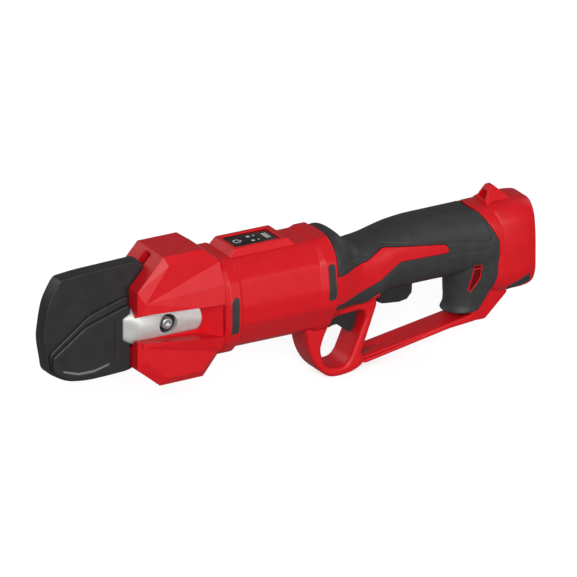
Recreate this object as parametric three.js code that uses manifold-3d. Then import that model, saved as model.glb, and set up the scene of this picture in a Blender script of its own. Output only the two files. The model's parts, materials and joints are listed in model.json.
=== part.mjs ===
// Battery electric pruner: a two-shell body with a planetary motor drive, a bevel-driven bypass
// blade, a hinged trigger and a slide-off blade sheath. Millimetres, +Z up, front towards -X.
// Every piece is drawn in drive coordinates, where X is the motor axis, x = 0 is the shoulder of the
// nose and z = 0 is the motor axis. The exported group is then moved so that its origin is the
// middle of the base.
import * as THREE from "three";
import { ConvexGeometry } from "three/addons/geometries/ConvexGeometry.js";
import { LoftGeometry } from "three/addons/geometries/LoftGeometry.js";
import { mergeVertices } from "three/addons/utils/BufferGeometryUtils.js";
import Module from "manifold-3d";

const wasm = await Module();
wasm.setup();

// ---------------------------------------------------------------- shared fits
const GAP = 0.3; // between pieces that touch
const RUNNING_GAP = 0.06; // radial, between a shaft and the bore it turns in
const SLIDE_GAP = 0.5; // around pieces that travel past each other
const HALF_SPLIT = GAP / 2; // each half stops this far from the mid-plane
const WALL = 2.4; // moulded shell wall
const FLAKE_VOLUME = 0.01; // cubic millimetres
const ROUND = 32; // sides of a large round piece
const SMALL_ROUND = 20;
const TINY_ROUND = 14;
const HEX = 6;
const REACH = 200; // a length that is longer than any piece, for cutters
const INTO = 1; // pieces that are joined run this far into each other
const FACE_OVERLAP = 0.1; // the same, where the joint has to stay short
const SCREW_HOLD = 1; // a screw stops this far from the far seat

// ---------------------------------------------------------------- driving lengths along the tool
const PIVOT_X = 19.3;
const NOSE_TIP = -10;
const NOSE_LENGTH = 50.5;
const FLANGE_LENGTH = 11.7;
const BARREL_LENGTH = 58;
const REAR_RING_LENGTH = 12;
const GRIP_LENGTH = 119;
const HOUSING_LENGTH = 30.5;
const FLANGE_X = NOSE_LENGTH + 2.8;
const BARREL_X = FLANGE_X + FLANGE_LENGTH;
const RING_X = BARREL_X + BARREL_LENGTH;
const NECK_X = RING_X + REAR_RING_LENGTH;
const HOUSING_X = NECK_X + GRIP_LENGTH;
const REAR_X = HOUSING_X + HOUSING_LENGTH;
const SHEATH_TIP = -65.5;
const BASE_DEPTH = 62; // from the motor axis down to the lowest face of the finger loop

// ---------------------------------------------------------------- nose and blades
const NOSE_RADIUS = 15;
const NOSE_TIP_RADIUS = 9.2;
const NOSE_BORE = 13;
const NOSE_FLANGE_RADIUS = 20;
const NOSE_FLANGE_LENGTH = 6.5;
const SLOT_TOP = 60;
const BLADE_THICKNESS = 3.5;
const BLADE_GAP = 0.3;
const BLADE_HUB_RADIUS = 6.4;
const BLADE_LENGTH = 77.3; // pivot to tip
const BOLT_RADIUS = 3;
const BOLT_HEAD_RADIUS = 3.75;
const BOLT_HEAD_LENGTH = 2.6;
const BOLT_RECESS_RADIUS = 6.5;
const BOLT_RECESS_DEPTH = 3.8;
const BOLT_CHAMFER = 0.5;
const BOLT_DRIVE_RADIUS = 1.9;
const BOLT_DRIVE_DEPTH = 1.7;
const NUT_RADIUS = 5.55;

// ---------------------------------------------------------------- head covers
// Corners of the head as [x, |y|, z], and of its rear face as [|y|, z].
const HEAD_CORNERS = [
  [-4, 16.7, 25.9], [14.8, 16.7, 46.6], [43, 16.7, 46.6], [16.8, 20, 41.2], [38.9, 20.4, 41],
  [43, 16.7, -39.2], [40, 20.4, -34], [12, 16.7, -39.6], [15.7, 20, -34.1], [0.5, 19.4, -19.5],
  [-4, 16.7, -26],
];
const HEAD_REAR_SECTION = [
  [16.7, 39.4], [22.8, 37], [27, 24], [28.5, 8], [28, -8], [24, -18], [17, -26.5], [8, -28],
];
const WINDOW_OUTLINE = [[-REACH, -7], [-4, -7.5], [38, -10.5], [REACH, -13], [REACH, 11.2], [-REACH, 11.2]];
const POCKET_RAMP = [[41, 13.2], [FLANGE_X, 25.7]]; // floor of the window beside the nose, as [x, |y|]

// ---------------------------------------------------------------- bevel drive
const GEAR_TEETH = 24;
const PINION_TEETH = 12;
const GEAR_RADIUS = 11;
const PINION_RADIUS = (GEAR_RADIUS * PINION_TEETH) / GEAR_TEETH;
const BEVEL_FACE = 4.2; // tooth length along the cone
const BEVEL_BACK = 1.5; // gear body behind the teeth
const GEAR_HUB_RADIUS = 5.4;
const TOOTH_SHARE = 0.42; // tooth width as a share of the pitch, at the pitch circle
const ADDENDUM = 0.75; // of the module
const DEDENDUM = 1.05; // of the module
const PINION_ROOM = 2; // around the pinion
const COLLAR_STEP = 0.6; // of the pinion's collar below its pitch circle
const BEARING_OFFSET = 7.7; // from the back of the pinion to its first bearing
const SECTOR_FROM = -18; // degrees
const SECTOR_TO = 70; // degrees
const SECTOR_STEPS = 6;

// ---------------------------------------------------------------- gearbox and motor
const GEAR_MODULE = 0.7;
const SUN_TEETH = 12;
const PLANET_TEETH = 18;
const RING_TEETH = SUN_TEETH + 2 * PLANET_TEETH;
const PLANETS = 3;
const PLANET_WIDTH = 8;
const PLANET_ORBIT = (GEAR_MODULE * (SUN_TEETH + PLANET_TEETH)) / 2;
const PLANET_PIN_RADIUS = 2;
const CARRIER_RADIUS = 15;
const CARRIER_THICKNESS = 3;
const CASE_RADIUS = 20;
const STAGES = 2;
const CARRIER_CLEARANCE = 0.7; // between one stage's pins and the next carrier
const CASE_END = 1.7; // of the case beyond the last stage
const AXIAL_GAP = 0.4;
const MOTOR_RADIUS = 21.8;
const DRIVE_CAVITY_RADIUS = MOTOR_RADIUS + 1;
const MOTOR_LENGTH = 34;
const CAN_WALL = 1.2;
const CAN_FACE = 2;
const SUN_CLEARANCE = 1.2; // around the sun gear, in the motor's face
const STATOR_LENGTH = 20;
const STATOR_OFFSET = 2.4; // behind the front bearing
const STATOR_YOKE = 3;
const STATOR_POLES = 6;
const POLE_HALF_WIDTH = 3;
const ROTOR_OVERHANG = 0.5;
const ROTOR_RADIUS = 10.5;
const AIR_GAP = 0.5;
const MOTOR_SHAFT_RADIUS = 2.5;
const PINION_SHAFT_RADIUS = 4;
const PINION_BEARING_RADIUS = 9.5;
const PINION_BEARING_WIDTH = 5;
const MOTOR_BEARING_RADIUS = 6.5;
const MOTOR_BEARING_WIDTH = 4;
const BEARING_SEAT_WALL = 2;
const SHAFT_CLEARANCE = 1;

// ---------------------------------------------------------------- body sections, as [|y|, z] corners
const BARREL_SECTION = [
  [0, 35.4], [13.9, 35.4], [18.5, 31.8], [25.2, 23.9], [27.7, 6], [26.5, -6.2], [16, -23], [8, -28], [0, -28],
];
const FLANGE_SECTION = [
  [0, 36.4], [15.5, 36.4], [21.5, 32.2], [27.5, 24], [30.2, 10], [30.2, -6], [25.5, -17], [17.5, -26],
  [9, -30], [0, -30],
];
const RING_RISE = 1.3; // of the rear ring over the barrel
const RING_SLOPE = 4;
const FLANGE_CHAMFER = 2;
const FLANGE_SLOPE = 3;
const FLANGE_REAR_CHAMFER = 1;

// Neck and grip stations: x, top, bottom, half width. The first run back from the neck start, and
// the last run forward from the housing start.
const NECK_STATIONS = [
  [-1, 35.6, -24, 25.6],
  [2, 36.6, -22, 25.8],
  [6, 36.9, -20.5, 25.2],
  [11, 33.8, -19, 23.4],
  [16, 28, -18.4, 21.4],
  [21, 24.9, -18.2, 20.2],
  [28, 25.2, -18, 19.6],
  [37.7, 26.7, -16, 19.2],
  [44, 28.2, -12, 18.9],
  [52, 30.2, -11.6, 18.6],
  [63, 31.7, -11.5, 18.5],
];
const REAR_STATIONS = [
  [-34, 32.3, -11.5, 18.5],
  [-15, 32.4, -12, 19],
  [0, 32.6, -16, 20.2],
];
const GRIP_ROUNDNESS = 2.7; // exponent of the oval section
const GRIP_SIDES = 20;
const OVERMOLD_THICKNESS = 1.8;
// Side outlines [x, z]: the overmold from the neck start and from the housing start, the body colour
// that shows through it from the neck start, and the air slot behind it from the housing start.
const OVERMOLD_FRONT = [[1.3, -12], [6.2, -12.3], [27.2, -15.1], [33, -10], [38, -8.5], [38.5, -20]];
const OVERMOLD_REAR = [
  [-35, -20], [-35, -REACH], [-22.5, -REACH], [-22.5, -36], [-7.7, -36.4], [1.7, -18.5], [3.5, -12.7],
  [3, 10.4], [-1.6, 19.5], [-5.8, 27], [-8.8, 31.3], [-14, 33.5], [-14, REACH],
];
const ACCENT_OUTLINE = [
  [-REACH, 12], [6.1, 12], [27.8, 15.8], [39.1, 21.7], [84.1, 15.4], [86.4, 11], [85, 9.5], [50.3, 10.3],
  [35.1, 0.5], [8.2, -7.8], [-REACH, -8.2],
];
const AIR_SLOT = [[-13.4, -3.7], [-7.9, -4], [-8.7, -13.4], [-10.1, -16.4], [-14.4, -22.7], [-16.3, -21.4]];
const AIR_SLOT_DEPTH = 1.4;

// Battery housing corners at its widest, as [|y|, z].
const HOUSING_SECTION = [
  [0, 33.4], [9.5, 33.4], [15, 30], [18.8, 23], [20.4, 10], [20.4, -14], [17.5, -22], [11, -27.5], [0, -28.5],
];
const HOUSING_FRONT_INSET = 2.2;
const HOUSING_REAR_INSET = 1.6;
const HOUSING_FRONT_SLOPE = 4; // the housing reaches its full section this far behind its start
const HOUSING_REAR_SLOPE = 7;
// The tether eye on top: corners as x from the housing start, |y| and z, and its tunnel as [y, z].
const EYE_CORNERS = [
  [0.7, 8.3, 31], [0.7, 6, 33.5], [5.3, 2.6, 42], [8.5, 2.6, 42], [17.5, 8.3, 33.3], [17.5, 8.3, 31],
];
const EYE_TUNNEL = [[-4.4, 34], [4.4, 34], [2.2, 38.8], [-2.2, 38.8]];
const SOCKET_HALF_WIDTH = 14.4;
const SOCKET_TOP = 27.6;
const SOCKET_BOTTOM = -7.4;
const SOCKET_DEPTH = 68;

// ---------------------------------------------------------------- finger loop and guard bar
const LOOP_HALF_WIDTH = 11.5;
const BAR_HALF_WIDTH = 10;
const LOOP_OUTLINE = [
  [-20, -10], [-13.8, -27], [-12.4, -38], [-9.5, -47], [-4.5, -55], [1.5, -60.4], [6.5, -BASE_DEPTH],
  [12, -BASE_DEPTH], [19, -61.2], [24.5, -59.2], [28, -56.8], [30, -53], [26.5, -50], [38.6, -17], [36, -10],
];
const LOOP_OPENING = [
  [4.5, -23.6], [8.5, -21], [26, -20.2], [29.2, -22], [29.6, -26], [17.9, -52.3], [14, -55.6], [7.5, -56],
  [1.2, -54], [-1.6, -48], [-3.2, -41.5], [-0.5, -33],
];
const BAR_FRONT = [[26, -52.9], [30, -57.1]]; // ends of the bar in the loop, from the neck start
const BAR_REAR = [[-28, -46.4], [-10, -44.6], [-10, -39], [-21, -41.2]]; // from the housing start
// Corners of the rear post, as x from the housing start, |y| and z.
const POST_TOP = -5;
const POST_FOOT = -36.6;
const POST_CORNERS = [
  [-25.5, 0, POST_TOP], [-23.8, 6.3, POST_TOP], [-19.3, 10.8, POST_TOP], [-13, 12.5, POST_TOP],
  [-25.5, 0, -30], [-23.8, 6.3, -30], [-19.3, 10.8, -30], [-13, 12.5, -30],
  [-27.6, 0, POST_FOOT], [-25.5, 7, POST_FOOT], [-20.4, 11.8, POST_FOOT], [-13, 13.3, POST_FOOT],
  [-7, 12.5, POST_FOOT], [3, 15, -18], [3, 17, POST_TOP],
]; // round in front, square behind
const LUG_CORNERS = [
  [-14, 9, -30], [-11, 10, -44.5], [-2, 10, -44.5], [5.5, 11, -34.8], [14, 11, -28.4], [8, 13, -18],
  [-14, 11, -20],
]; // behind the rear post, where the guard bar ends

// ---------------------------------------------------------------- inserts and pads
const INSERT_DEPTH = 2.6;
const INSERT_RISE = 0.4;
const PAD_DEPTH = 1;
// Side outlines [x, z], from the flange start, the neck start and the rear face.
const FRONT_INSERT = [[3.3, -10], [8.6, -10], [8.9, 13.6], [6.6, 15.4], [3.4, 12]];
const REAR_INSERT = [[-7, -1.4], [-2.2, -1.4], [-1.6, 1.6], [-2, 21], [-3.4, 23], [-7, 21.6]];
const PAD_OUTLINE = [[-18.4, -22], [-5, -15.2], [-4.4, -21.6], [-18.8, -26.9]];
const FLANGE_HALF_WIDTH = FLANGE_SECTION[4][0];
const BARREL_HALF_WIDTH = BARREL_SECTION[3][0];
const HOUSING_FOOT_HALF_WIDTH = HOUSING_SECTION[7][0];

// ---------------------------------------------------------------- control pod, panel and button
const POD_FRONT = 3.5; // of the flat top, from the barrel start
const POD_LENGTH = 38.5;
const POD_TOP = 40.5;
const POD_HALF_WIDTH = 12.6;
const POD_SLOPE = 6;
const POD_FOOT = 34; // height of its lower edge
const POD_DRAFT = 1;
const PANEL_FRONT = 6; // from the barrel start
const PANEL_LENGTH = 32;
const PANEL_HALF_WIDTH = 9.4;
const PANEL_TOP = 39.4;
const PANEL_THICKNESS = 1.6;
const PANEL_LEDGE = 1.2;
const BOARD_THICKNESS = 1.6;
const BUTTON_X = 12.2; // from the barrel start
const BUTTON_RADIUS = 3.6;
const BUTTON_TRAVEL = 0.6;

// ---------------------------------------------------------------- trigger
const TRIGGER_HALF_WIDTH = 6.5;
const TRIGGER_PIN = [69, -2.2]; // x from the neck start, z
const TRIGGER_PIN_RADIUS = 1.5;
const TRIGGER_OUTLINE = [
  [6.4, -9], [5, -29.4], [8, -28.4], [11.5, -28.2], [14.5, -30.4], [18, -34], [21.3, -34.9], [23.6, -32],
  [25.6, -20], [26, -8.4], [41.2, -8.4], [41.2, -19.4], [44, -20.8], [56.4, -22.1], [62, -21.2],
  [65.6, -17.4], [66.4, -6.2], [72.6, -5.4], [73, -0.8], [70, 1], [66, 0.4], [58, -3], [44, -4.1],
  [8, -4.4],
];
const TRIGGER_SLOT = 7.1; // half width of the slots that the trigger moves in
// Opposite corners [x, z] of the slots, from the neck start.
const TRIGGER_SLOTS = [[[1.4, -26], [26.8, -4]], [[38.2, -18], [67, -4]]];
const LEVER_SLOT = [[1.4, -9.4], [74, 6]];
const PIN_HALF_LENGTH = 12;
const PIN_BOSS_WALL = 2;
const SPRING_RADIUS = 2.6;
const SPRING_WIRE = 0.45;
const SPRING_TURNS = 5;
const SPRING_X = 32;
const SPRING_LOW = -3.6;
const SPRING_HIGH = 1.6;
const SPRING_WIRE_SIDES = 5;
const SPRING_TURN_STEPS = 8;

// ---------------------------------------------------------------- electronics
// Lengths along x run from the neck start.
const BOARD_Z = 9;
const BOARD_HALF_WIDTH = 12;
const BOARD_ENDS = [6, 60];
const RAIL_ENDS = [10, 56];
const RAIL_THICKNESS = 2.3;
const RAIL_OVERLAP = 1.5; // of the board on each rail
const SENSOR_HALF_WIDTH = 6;
const SENSOR_ENDS = [26, 52];
const SENSOR_BOTTOM = 2;
const TERMINAL_LENGTH = 6;
const TERMINAL_HALF_WIDTH = 11;
const TERMINAL_ENDS = [4, 21]; // z
const TERMINAL_OFFSET = 7.1; // of the terminal block's front face ahead of the socket
const CONTACT_SPACING = 6;
const CONTACT_HALF_WIDTH = 0.6;
const CONTACT_ENDS = [8, 16]; // z
const CONTACT_LENGTH = 12;
const DRIVE_WALL = 6; // between the motor's room and the neck
const CASE_RIB = 2;
const CASE_RIB_INSET = 4;
const PANEL_BOARD_DROP = 2.4; // under the panel
const BUTTON_FLOAT = 0.2;

// ---------------------------------------------------------------- sheath
const SHEATH_HALF_WIDTH = 5.3;
const SHEATH_RAISED_HALF_WIDTH = 9.4;
const SHEATH_WALL = 1.1;
const SHEATH_EDGE = 2.4;
const SHEATH_SHOULDER_HALF_WIDTH = 6.9;
const SHEATH_MOUTH_X = -12; // where the sheath is open to the rear
const SHEATH_UPPER_END = 7;
const SHEATH_LOWER_END = 0.7;
const SHEATH_TOP = 42.8;
const SHEATH_BOTTOM = -29.5; // at the rear edge
const SHEATH_OUTLINE = [
  [SHEATH_UPPER_END, SHEATH_TOP], [-39.7, 41.6], [-52.8, 40.2], [-57.8, 33], [-61.5, 25.6], [-63.6, 15.8], [SHEATH_TIP, 3],
  [-64.4, -4.4], [-62.9, -12.8], [-62, -20.8], [-48.6, -28.9], [-34, -31], [-19.5, -30.6],
  [SHEATH_LOWER_END, SHEATH_BOTTOM],
];
const SHEATH_STEP_TOP = [[-6.4, 21.3], [-33, 13.2], [-60, -6.6], [-61.4, -9.4]];
const SHEATH_STEP_LOW = [[-6.4, 16.2], [-36.3, 7.4], [-59.6, -9], [-60.2, -10.4]];
const SHEATH_RAISED_BASE = [[-60.4, -19.6], [-47.6, -27.2], [-34, -29.2], [-19.5, -28.8], [-6.4, -28.1]];

// ---------------------------------------------------------------- screws
const SCREW_RADIUS = 1.5;
const SCREW_HEAD_RADIUS = 2.8;
const SCREW_HEAD_LENGTH = 2.2;
const SCREW_DRIVE_RADIUS = 1.2;
const SCREW_DRIVE_DEPTH = 1.2;
const SCREW_SINK = 3; // of a screw's seat below the side of the guard
// Each screw's x, z and the plane on which its head sits.
const SHELL_SCREWS = [
  [FLANGE_X + 8, 29.2, 14],
  [RING_X + 1.5, 28.6, 14],
  [NECK_X - 7.8, -37, LOOP_HALF_WIDTH - SCREW_SINK],
  [NECK_X + 22.2, -54.6, LOOP_HALF_WIDTH - SCREW_SINK],
  [HOUSING_X - 4.2, -39.8, BAR_HALF_WIDTH - SCREW_SINK],
  [REAR_X - 14, -23.4, 9],
];
const COVER_SCREWS = [
  [38, 31, 13.5],
  [38, -29, 13.5],
];

// ---------------------------------------------------------------- materials
const finish = (color, roughness, metalness) =>
  new THREE.MeshStandardMaterial({ color, roughness, metalness });
const RED = finish(0xcc1f2b, 0.45, 0);
const BLACK_PLASTIC = finish(0x2b2b2c, 0.5, 0);
const SOFT_BLACK = finish(0x333334, 0.75, 0);
const GLOSS_BLACK = finish(0x151517, 0.15, 0);
const CAST_SILVER = finish(0xb9bbba, 0.45, 0.7);
const STEEL = finish(0x9fa1a4, 0.35, 1);
const DARK_STEEL = finish(0x55575a, 0.45, 1);
const COPPER = finish(0xb56b3c, 0.4, 1);
const BOARD_GREEN = finish(0x1d5a36, 0.6, 0);

// ---------------------------------------------------------------- solids
function solid(geometry) {
  const bare = geometry.index ? geometry.toNonIndexed() : geometry.clone();
  bare.deleteAttribute("normal");
  bare.deleteAttribute("uv");
  const merged = mergeVertices(bare, 1e-4);
  const triVerts = new Uint32Array(merged.index.array);
  const vertProperties = merged.attributes.position.array;
  const made = new wasm.Manifold(new wasm.Mesh({ numProp: 3, vertProperties, triVerts }));
  if (made.volume() > 0) {
    return made;
  }
  const turned = triVerts.slice();
  for (let corner = 0; corner < turned.length; corner += 3) {
    turned[corner + 1] = triVerts[corner + 2];
    turned[corner + 2] = triVerts[corner + 1];
  }
  return new wasm.Manifold(new wasm.Mesh({ numProp: 3, vertProperties, triVerts: turned }));
}

function geometryOf(made) {
  const mesh = made.getMesh();
  const geometry = new THREE.BufferGeometry();
  geometry.setAttribute("position", new THREE.BufferAttribute(mesh.vertProperties, mesh.numProp));
  geometry.setIndex(new THREE.BufferAttribute(mesh.triVerts, 1));
  const flat = geometry.toNonIndexed();
  flat.computeVertexNormals();
  return flat;
}

const join = (solids) => solids.reduce((whole, piece) => whole.add(piece));

/** Cuts along nearly matching faces leave flakes of no volume, which this takes off. */
const withoutFlakes = (made) => join(made.decompose().filter((piece) => piece.volume() > FLAKE_VOLUME));
const cut = (body, cutters) => cutters.reduce((whole, cutter) => whole.subtract(cutter), body);

function outlineShape(points) {
  return new THREE.Shape(points.map(([across, up]) => new THREE.Vector2(across, up)));
}

function extruded(points, length, xAxis, yAxis, zAxis, start) {
  const geometry = new THREE.ExtrudeGeometry(outlineShape(points), { depth: length, bevelEnabled: false });
  const frame = new THREE.Matrix4().makeBasis(xAxis, yAxis, zAxis);
  geometry.applyMatrix4(frame);
  geometry.translate(...start);
  return solid(geometry);
}

const X = new THREE.Vector3(1, 0, 0);
const Y = new THREE.Vector3(0, 1, 0);
const Z = new THREE.Vector3(0, 0, 1);
const BACK_Y = new THREE.Vector3(0, -1, 0);

/** An [x, z] outline from y = low to y = high. */
const plate = (points, low, high) => extruded(points, high - low, X, Z, BACK_Y, [0, high, 0]);

/** A [y, z] outline from x = low to x = high. */
const bar = (points, low, high) => extruded(points, high - low, Y, Z, X, [low, 0, 0]);

/** An [x, y] outline from z = low to z = high. */
const slab = (points, low, high) => extruded(points, high - low, X, Y, Z, [0, 0, low]);

function block(low, high) {
  const size = high.map((value, axis) => value - low[axis]);
  const geometry = new THREE.BoxGeometry(...size);
  geometry.translate(...low.map((value, axis) => value + size[axis] / 2));
  return solid(geometry);
}

/** A turned piece: profile points [radius, along], spun about the X or Y axis through centre. */
function turned(profile, axis, centre, sides = SMALL_ROUND) {
  const points = profile.map(([radius, along]) => new THREE.Vector2(radius, along));
  const geometry = new THREE.LatheGeometry(points, sides);
  if (axis === "x") {
    geometry.rotateZ(-Math.PI / 2);
  }
  geometry.translate(...centre);
  return solid(geometry);
}

const disc = (radius, low, high, axis, centre, sides) =>
  turned([[0, low], [radius, low], [radius, high], [0, high]], axis, centre, sides);

const ring = (inner, outer, low, high, axis, centre, sides) =>
  turned([[inner, low], [outer, low], [outer, high], [inner, high], [inner, low]], axis, centre, sides);

const ON_AXIS = [0, 0, 0];

/** Both halves of a section given by its corners from the top middle to the bottom middle. */
function mirrored(corners) {
  const far = corners.map(([across, up]) => [across, up]);
  const near = corners.slice(1, -1).map(([across, up]) => [-across, up]);
  return far.concat(near.reverse());
}

/** Moves every side of a closed outline outwards by distance, or inwards when it is negative. */
function grown(points, distance) {
  const area = points.reduce((sum, [x, z], i) => {
    const [nextX, nextZ] = points[(i + 1) % points.length];
    return sum + x * nextZ - nextX * z;
  }, 0);
  const turn = Math.sign(area) * distance;
  return points.map(([x, z], i) => {
    const [beforeX, beforeZ] = points[(i + points.length - 1) % points.length];
    const [afterX, afterZ] = points[(i + 1) % points.length];
    const first = new THREE.Vector2(z - beforeZ, beforeX - x).normalize();
    const second = new THREE.Vector2(afterZ - z, x - afterX).normalize();
    const middle = first.clone().add(second).normalize();
    const stretch = turn / Math.max(middle.dot(first), 0.5);
    return [x + middle.x * stretch, z + middle.y * stretch];
  });
}

/** The closed skin through rings of equal length, wound so that it faces outwards. */
function skinned(rings) {
  const [first] = rings;
  const last = rings[rings.length - 1];
  const middle = (points) => points.reduce((sum, point) => sum.add(point), new THREE.Vector3());
  const along = middle(last).sub(middle(first));
  const facing = first.reduce(
    (sum, point, i) => sum.add(new THREE.Vector3().crossVectors(point, first[(i + 1) % first.length])),
    new THREE.Vector3(),
  );
  const wound = facing.dot(along) > 0 ? rings : rings.map((points) => [...points].reverse());
  return solid(new LoftGeometry(wound, { capStart: true, capEnd: true }));
}

/** A closed loft through [y, z] sections of equal length placed at x stations. */
function loft(sections) {
  return skinned(sections.map(({ x, points }) => points.map(([y, z]) => new THREE.Vector3(x, y, z))));
}

/** An oval section whose sides follow |u|^n + |v|^n = 1 between top and bottom. */
function oval(halfWidth, top, bottom) {
  const middle = (top + bottom) / 2;
  const halfHeight = (top - bottom) / 2;
  const power = 2 / GRIP_ROUNDNESS;
  return Array.from({ length: GRIP_SIDES }, (_, i) => {
    const angle = (2 * Math.PI * i) / GRIP_SIDES;
    const across = Math.sign(Math.sin(angle)) * Math.abs(Math.sin(angle)) ** power;
    const up = Math.sign(Math.cos(angle)) * Math.abs(Math.cos(angle)) ** power;
    return [halfWidth * across, middle + halfHeight * up];
  });
}

const hull = (corners) =>
  solid(
    new ConvexGeometry(
      corners.flatMap(([x, y, z]) => [new THREE.Vector3(x, y, z), new THREE.Vector3(x, -y, z)]),
    ),
  );

const shifted = (points, x, z = 0) => points.map(([along, up]) => [along + x, up + z]);

// ---------------------------------------------------------------- head
const BLADE_PLANE = BLADE_GAP / 2;
const BLADE_OUTER = BLADE_PLANE + BLADE_THICKNESS;
const NEAR_CHEEK = PINION_RADIUS + BEVEL_BACK + SLIDE_GAP;
const BEARING_X = PIVOT_X + GEAR_RADIUS + BEARING_OFFSET;
const RECESS_FLOOR = NOSE_RADIUS - BOLT_RECESS_DEPTH;

/** The opening in the head and nose that the blades swing through, as an [x, z] outline. */
const SWING_OUTLINE = [
  [-REACH, -REACH / 2], [12, -REACH / 2], [12, -46], [27, -16], [30, 0], [31, 14], [13.5, 44], [12, SLOT_TOP],
  [-REACH, SLOT_TOP],
];

function nose() {
  const outside = turned(
    [
      [0, NOSE_TIP], [NOSE_TIP_RADIUS, NOSE_TIP], [NOSE_RADIUS, 0], [NOSE_RADIUS, NOSE_LENGTH],
      [NOSE_FLANGE_RADIUS, NOSE_LENGTH], [NOSE_FLANGE_RADIUS, NOSE_LENGTH + NOSE_FLANGE_LENGTH],
      [0, NOSE_LENGTH + NOSE_FLANGE_LENGTH],
    ],
    "x",
    ON_AXIS,
    ROUND,
  );
  const gearRoom = disc(NOSE_BORE, PIVOT_X - NOSE_BORE + INTO, BEARING_X, "x", ON_AXIS, ROUND);
  const cheeks = block([-REACH, -NEAR_CHEEK, -REACH], [REACH, BLADE_OUTER + GAP, REACH]);
  const pinionRoomRadius = PINION_RADIUS + PINION_ROOM;
  const pinionRoom = disc(pinionRoomRadius, PIVOT_X + GEAR_RADIUS / 2, BEARING_X, "x", ON_AXIS, SMALL_ROUND);
  const slot = plate(SWING_OUTLINE, -BLADE_OUTER - GAP, BLADE_OUTER + GAP);
  const bearings = disc(PINION_BEARING_RADIUS + GAP, BEARING_X, REACH, "x", ON_AXIS, SMALL_ROUND);
  const boltHole = disc(BOLT_RADIUS + GAP, -REACH, REACH, "y", [PIVOT_X, 0, 0], SMALL_ROUND);
  const recess = [
    disc(BOLT_RECESS_RADIUS, -REACH, -RECESS_FLOOR, "y", [PIVOT_X, 0, 0], SMALL_ROUND),
    disc(BOLT_RECESS_RADIUS, RECESS_FLOOR, REACH, "y", [PIVOT_X, 0, 0], SMALL_ROUND),
  ];
  return cut(outside, [gearRoom.intersect(cheeks), pinionRoom, slot, bearings, boltHole, ...recess]);
}

/** Where the sheath's rear edge slides into the head, as an [x, z] outline. */
const SHEATH_ROOM_OUTLINE = [
  [-REACH, -REACH / 2], [SHEATH_LOWER_END + 2 * SLIDE_GAP, -REACH / 2],
  [SHEATH_LOWER_END + 2 * SLIDE_GAP, SHEATH_BOTTOM], [SHEATH_UPPER_END + 2 * SLIDE_GAP, SHEATH_TOP],
  [SHEATH_UPPER_END + 2 * SLIDE_GAP, SLOT_TOP], [-REACH, SLOT_TOP],
];

/** The red head around the nose, up to the flange. */
function headBlock() {
  const rear = HEAD_REAR_SECTION.map(([y, z]) => [FLANGE_X - GAP, y, z]);
  return hull([...HEAD_CORNERS, ...rear]);
}

function headCovers() {
  const windows = plate(WINDOW_OUTLINE, -REACH, REACH);
  const pocket = (side) =>
    slab(
      [
        [-REACH, side * POCKET_RAMP[0][1]], ...POCKET_RAMP.map(([x, y]) => [x, side * y]),
        [REACH, side * REACH], [-REACH, side * REACH],
      ],
      -REACH,
      REACH,
    );
  const noseRoom = turned(
    [
      [0, -REACH], [NOSE_RADIUS + GAP, -REACH], [NOSE_RADIUS + GAP, NOSE_LENGTH - GAP],
      [NOSE_FLANGE_RADIUS + GAP, NOSE_LENGTH - GAP], [NOSE_FLANGE_RADIUS + GAP, REACH], [0, REACH],
    ],
    "x",
    ON_AXIS,
    ROUND,
  );
  const sheathRoom = plate(SHEATH_ROOM_OUTLINE, -SHEATH_HALF_WIDTH - SLIDE_GAP, SHEATH_HALF_WIDTH + SLIDE_GAP);
  const bladeRoom = plate(SWING_OUTLINE, -BLADE_OUTER - SLIDE_GAP, BLADE_OUTER + SLIDE_GAP);
  const whole = cut(headBlock(), [
    windows.intersect(pocket(1)),
    windows.intersect(pocket(-1)),
    noseRoom,
    sheathRoom,
    bladeRoom,
    ...COVER_SCREWS.map(screwRoom),
  ]);
  return { left: whole.intersect(LEFT_SIDE), right: whole.intersect(RIGHT_SIDE) };
}

/** Outline of the moving blade: hub arc behind, straight spine above, curved cutting edge below. */
const MOVING_BLADE_OUTLINE = [
  [12, 9.5], [4, 14.5], [-8, 17.5], [-22, 17.6], [-36, 14.6], [-48, 8.6], [PIVOT_X - BLADE_LENGTH, 0],
  [-50, -3.6], [-38, -6.8], [-22, -8.6], [-8, -8.6], [4, -7.4], [14, -5.4],
];
const COUNTER_BLADE_OUTLINE = [
  [14, 5.4], [8, 4], [-2, 0], [-14, -3.6], [-26, -5], [-38, -4.4], [-50, -1.6], [PIVOT_X - BLADE_LENGTH, 0.6],
  [-54, -7.6], [-44, -14.4], [-30, -18.8], [-14, -18.6], [-2, -15.4], [8, -11.8], [25.8, -11.8], [25.8, 5.4],
];

function blade(outline, low, high, bore) {
  const hub = disc(BLADE_HUB_RADIUS, low, high, "y", [PIVOT_X, 0, 0], SMALL_ROUND);
  const hole = disc(bore, -REACH, REACH, "y", [PIVOT_X, 0, 0], SMALL_ROUND);
  return plate(outline, low, high).add(hub).subtract(hole);
}

function movingBlade() {
  const arm = MOVING_BLADE_OUTLINE.concat([[PIVOT_X, -BLADE_HUB_RADIUS], [PIVOT_X, BLADE_HUB_RADIUS]]);
  return blade(arm, -BLADE_OUTER, -BLADE_PLANE, BOLT_RADIUS + RUNNING_GAP);
}

const counterBlade = () =>
  blade(COUNTER_BLADE_OUTLINE, BLADE_PLANE, BLADE_OUTER, BOLT_RADIUS + GAP);

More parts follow.
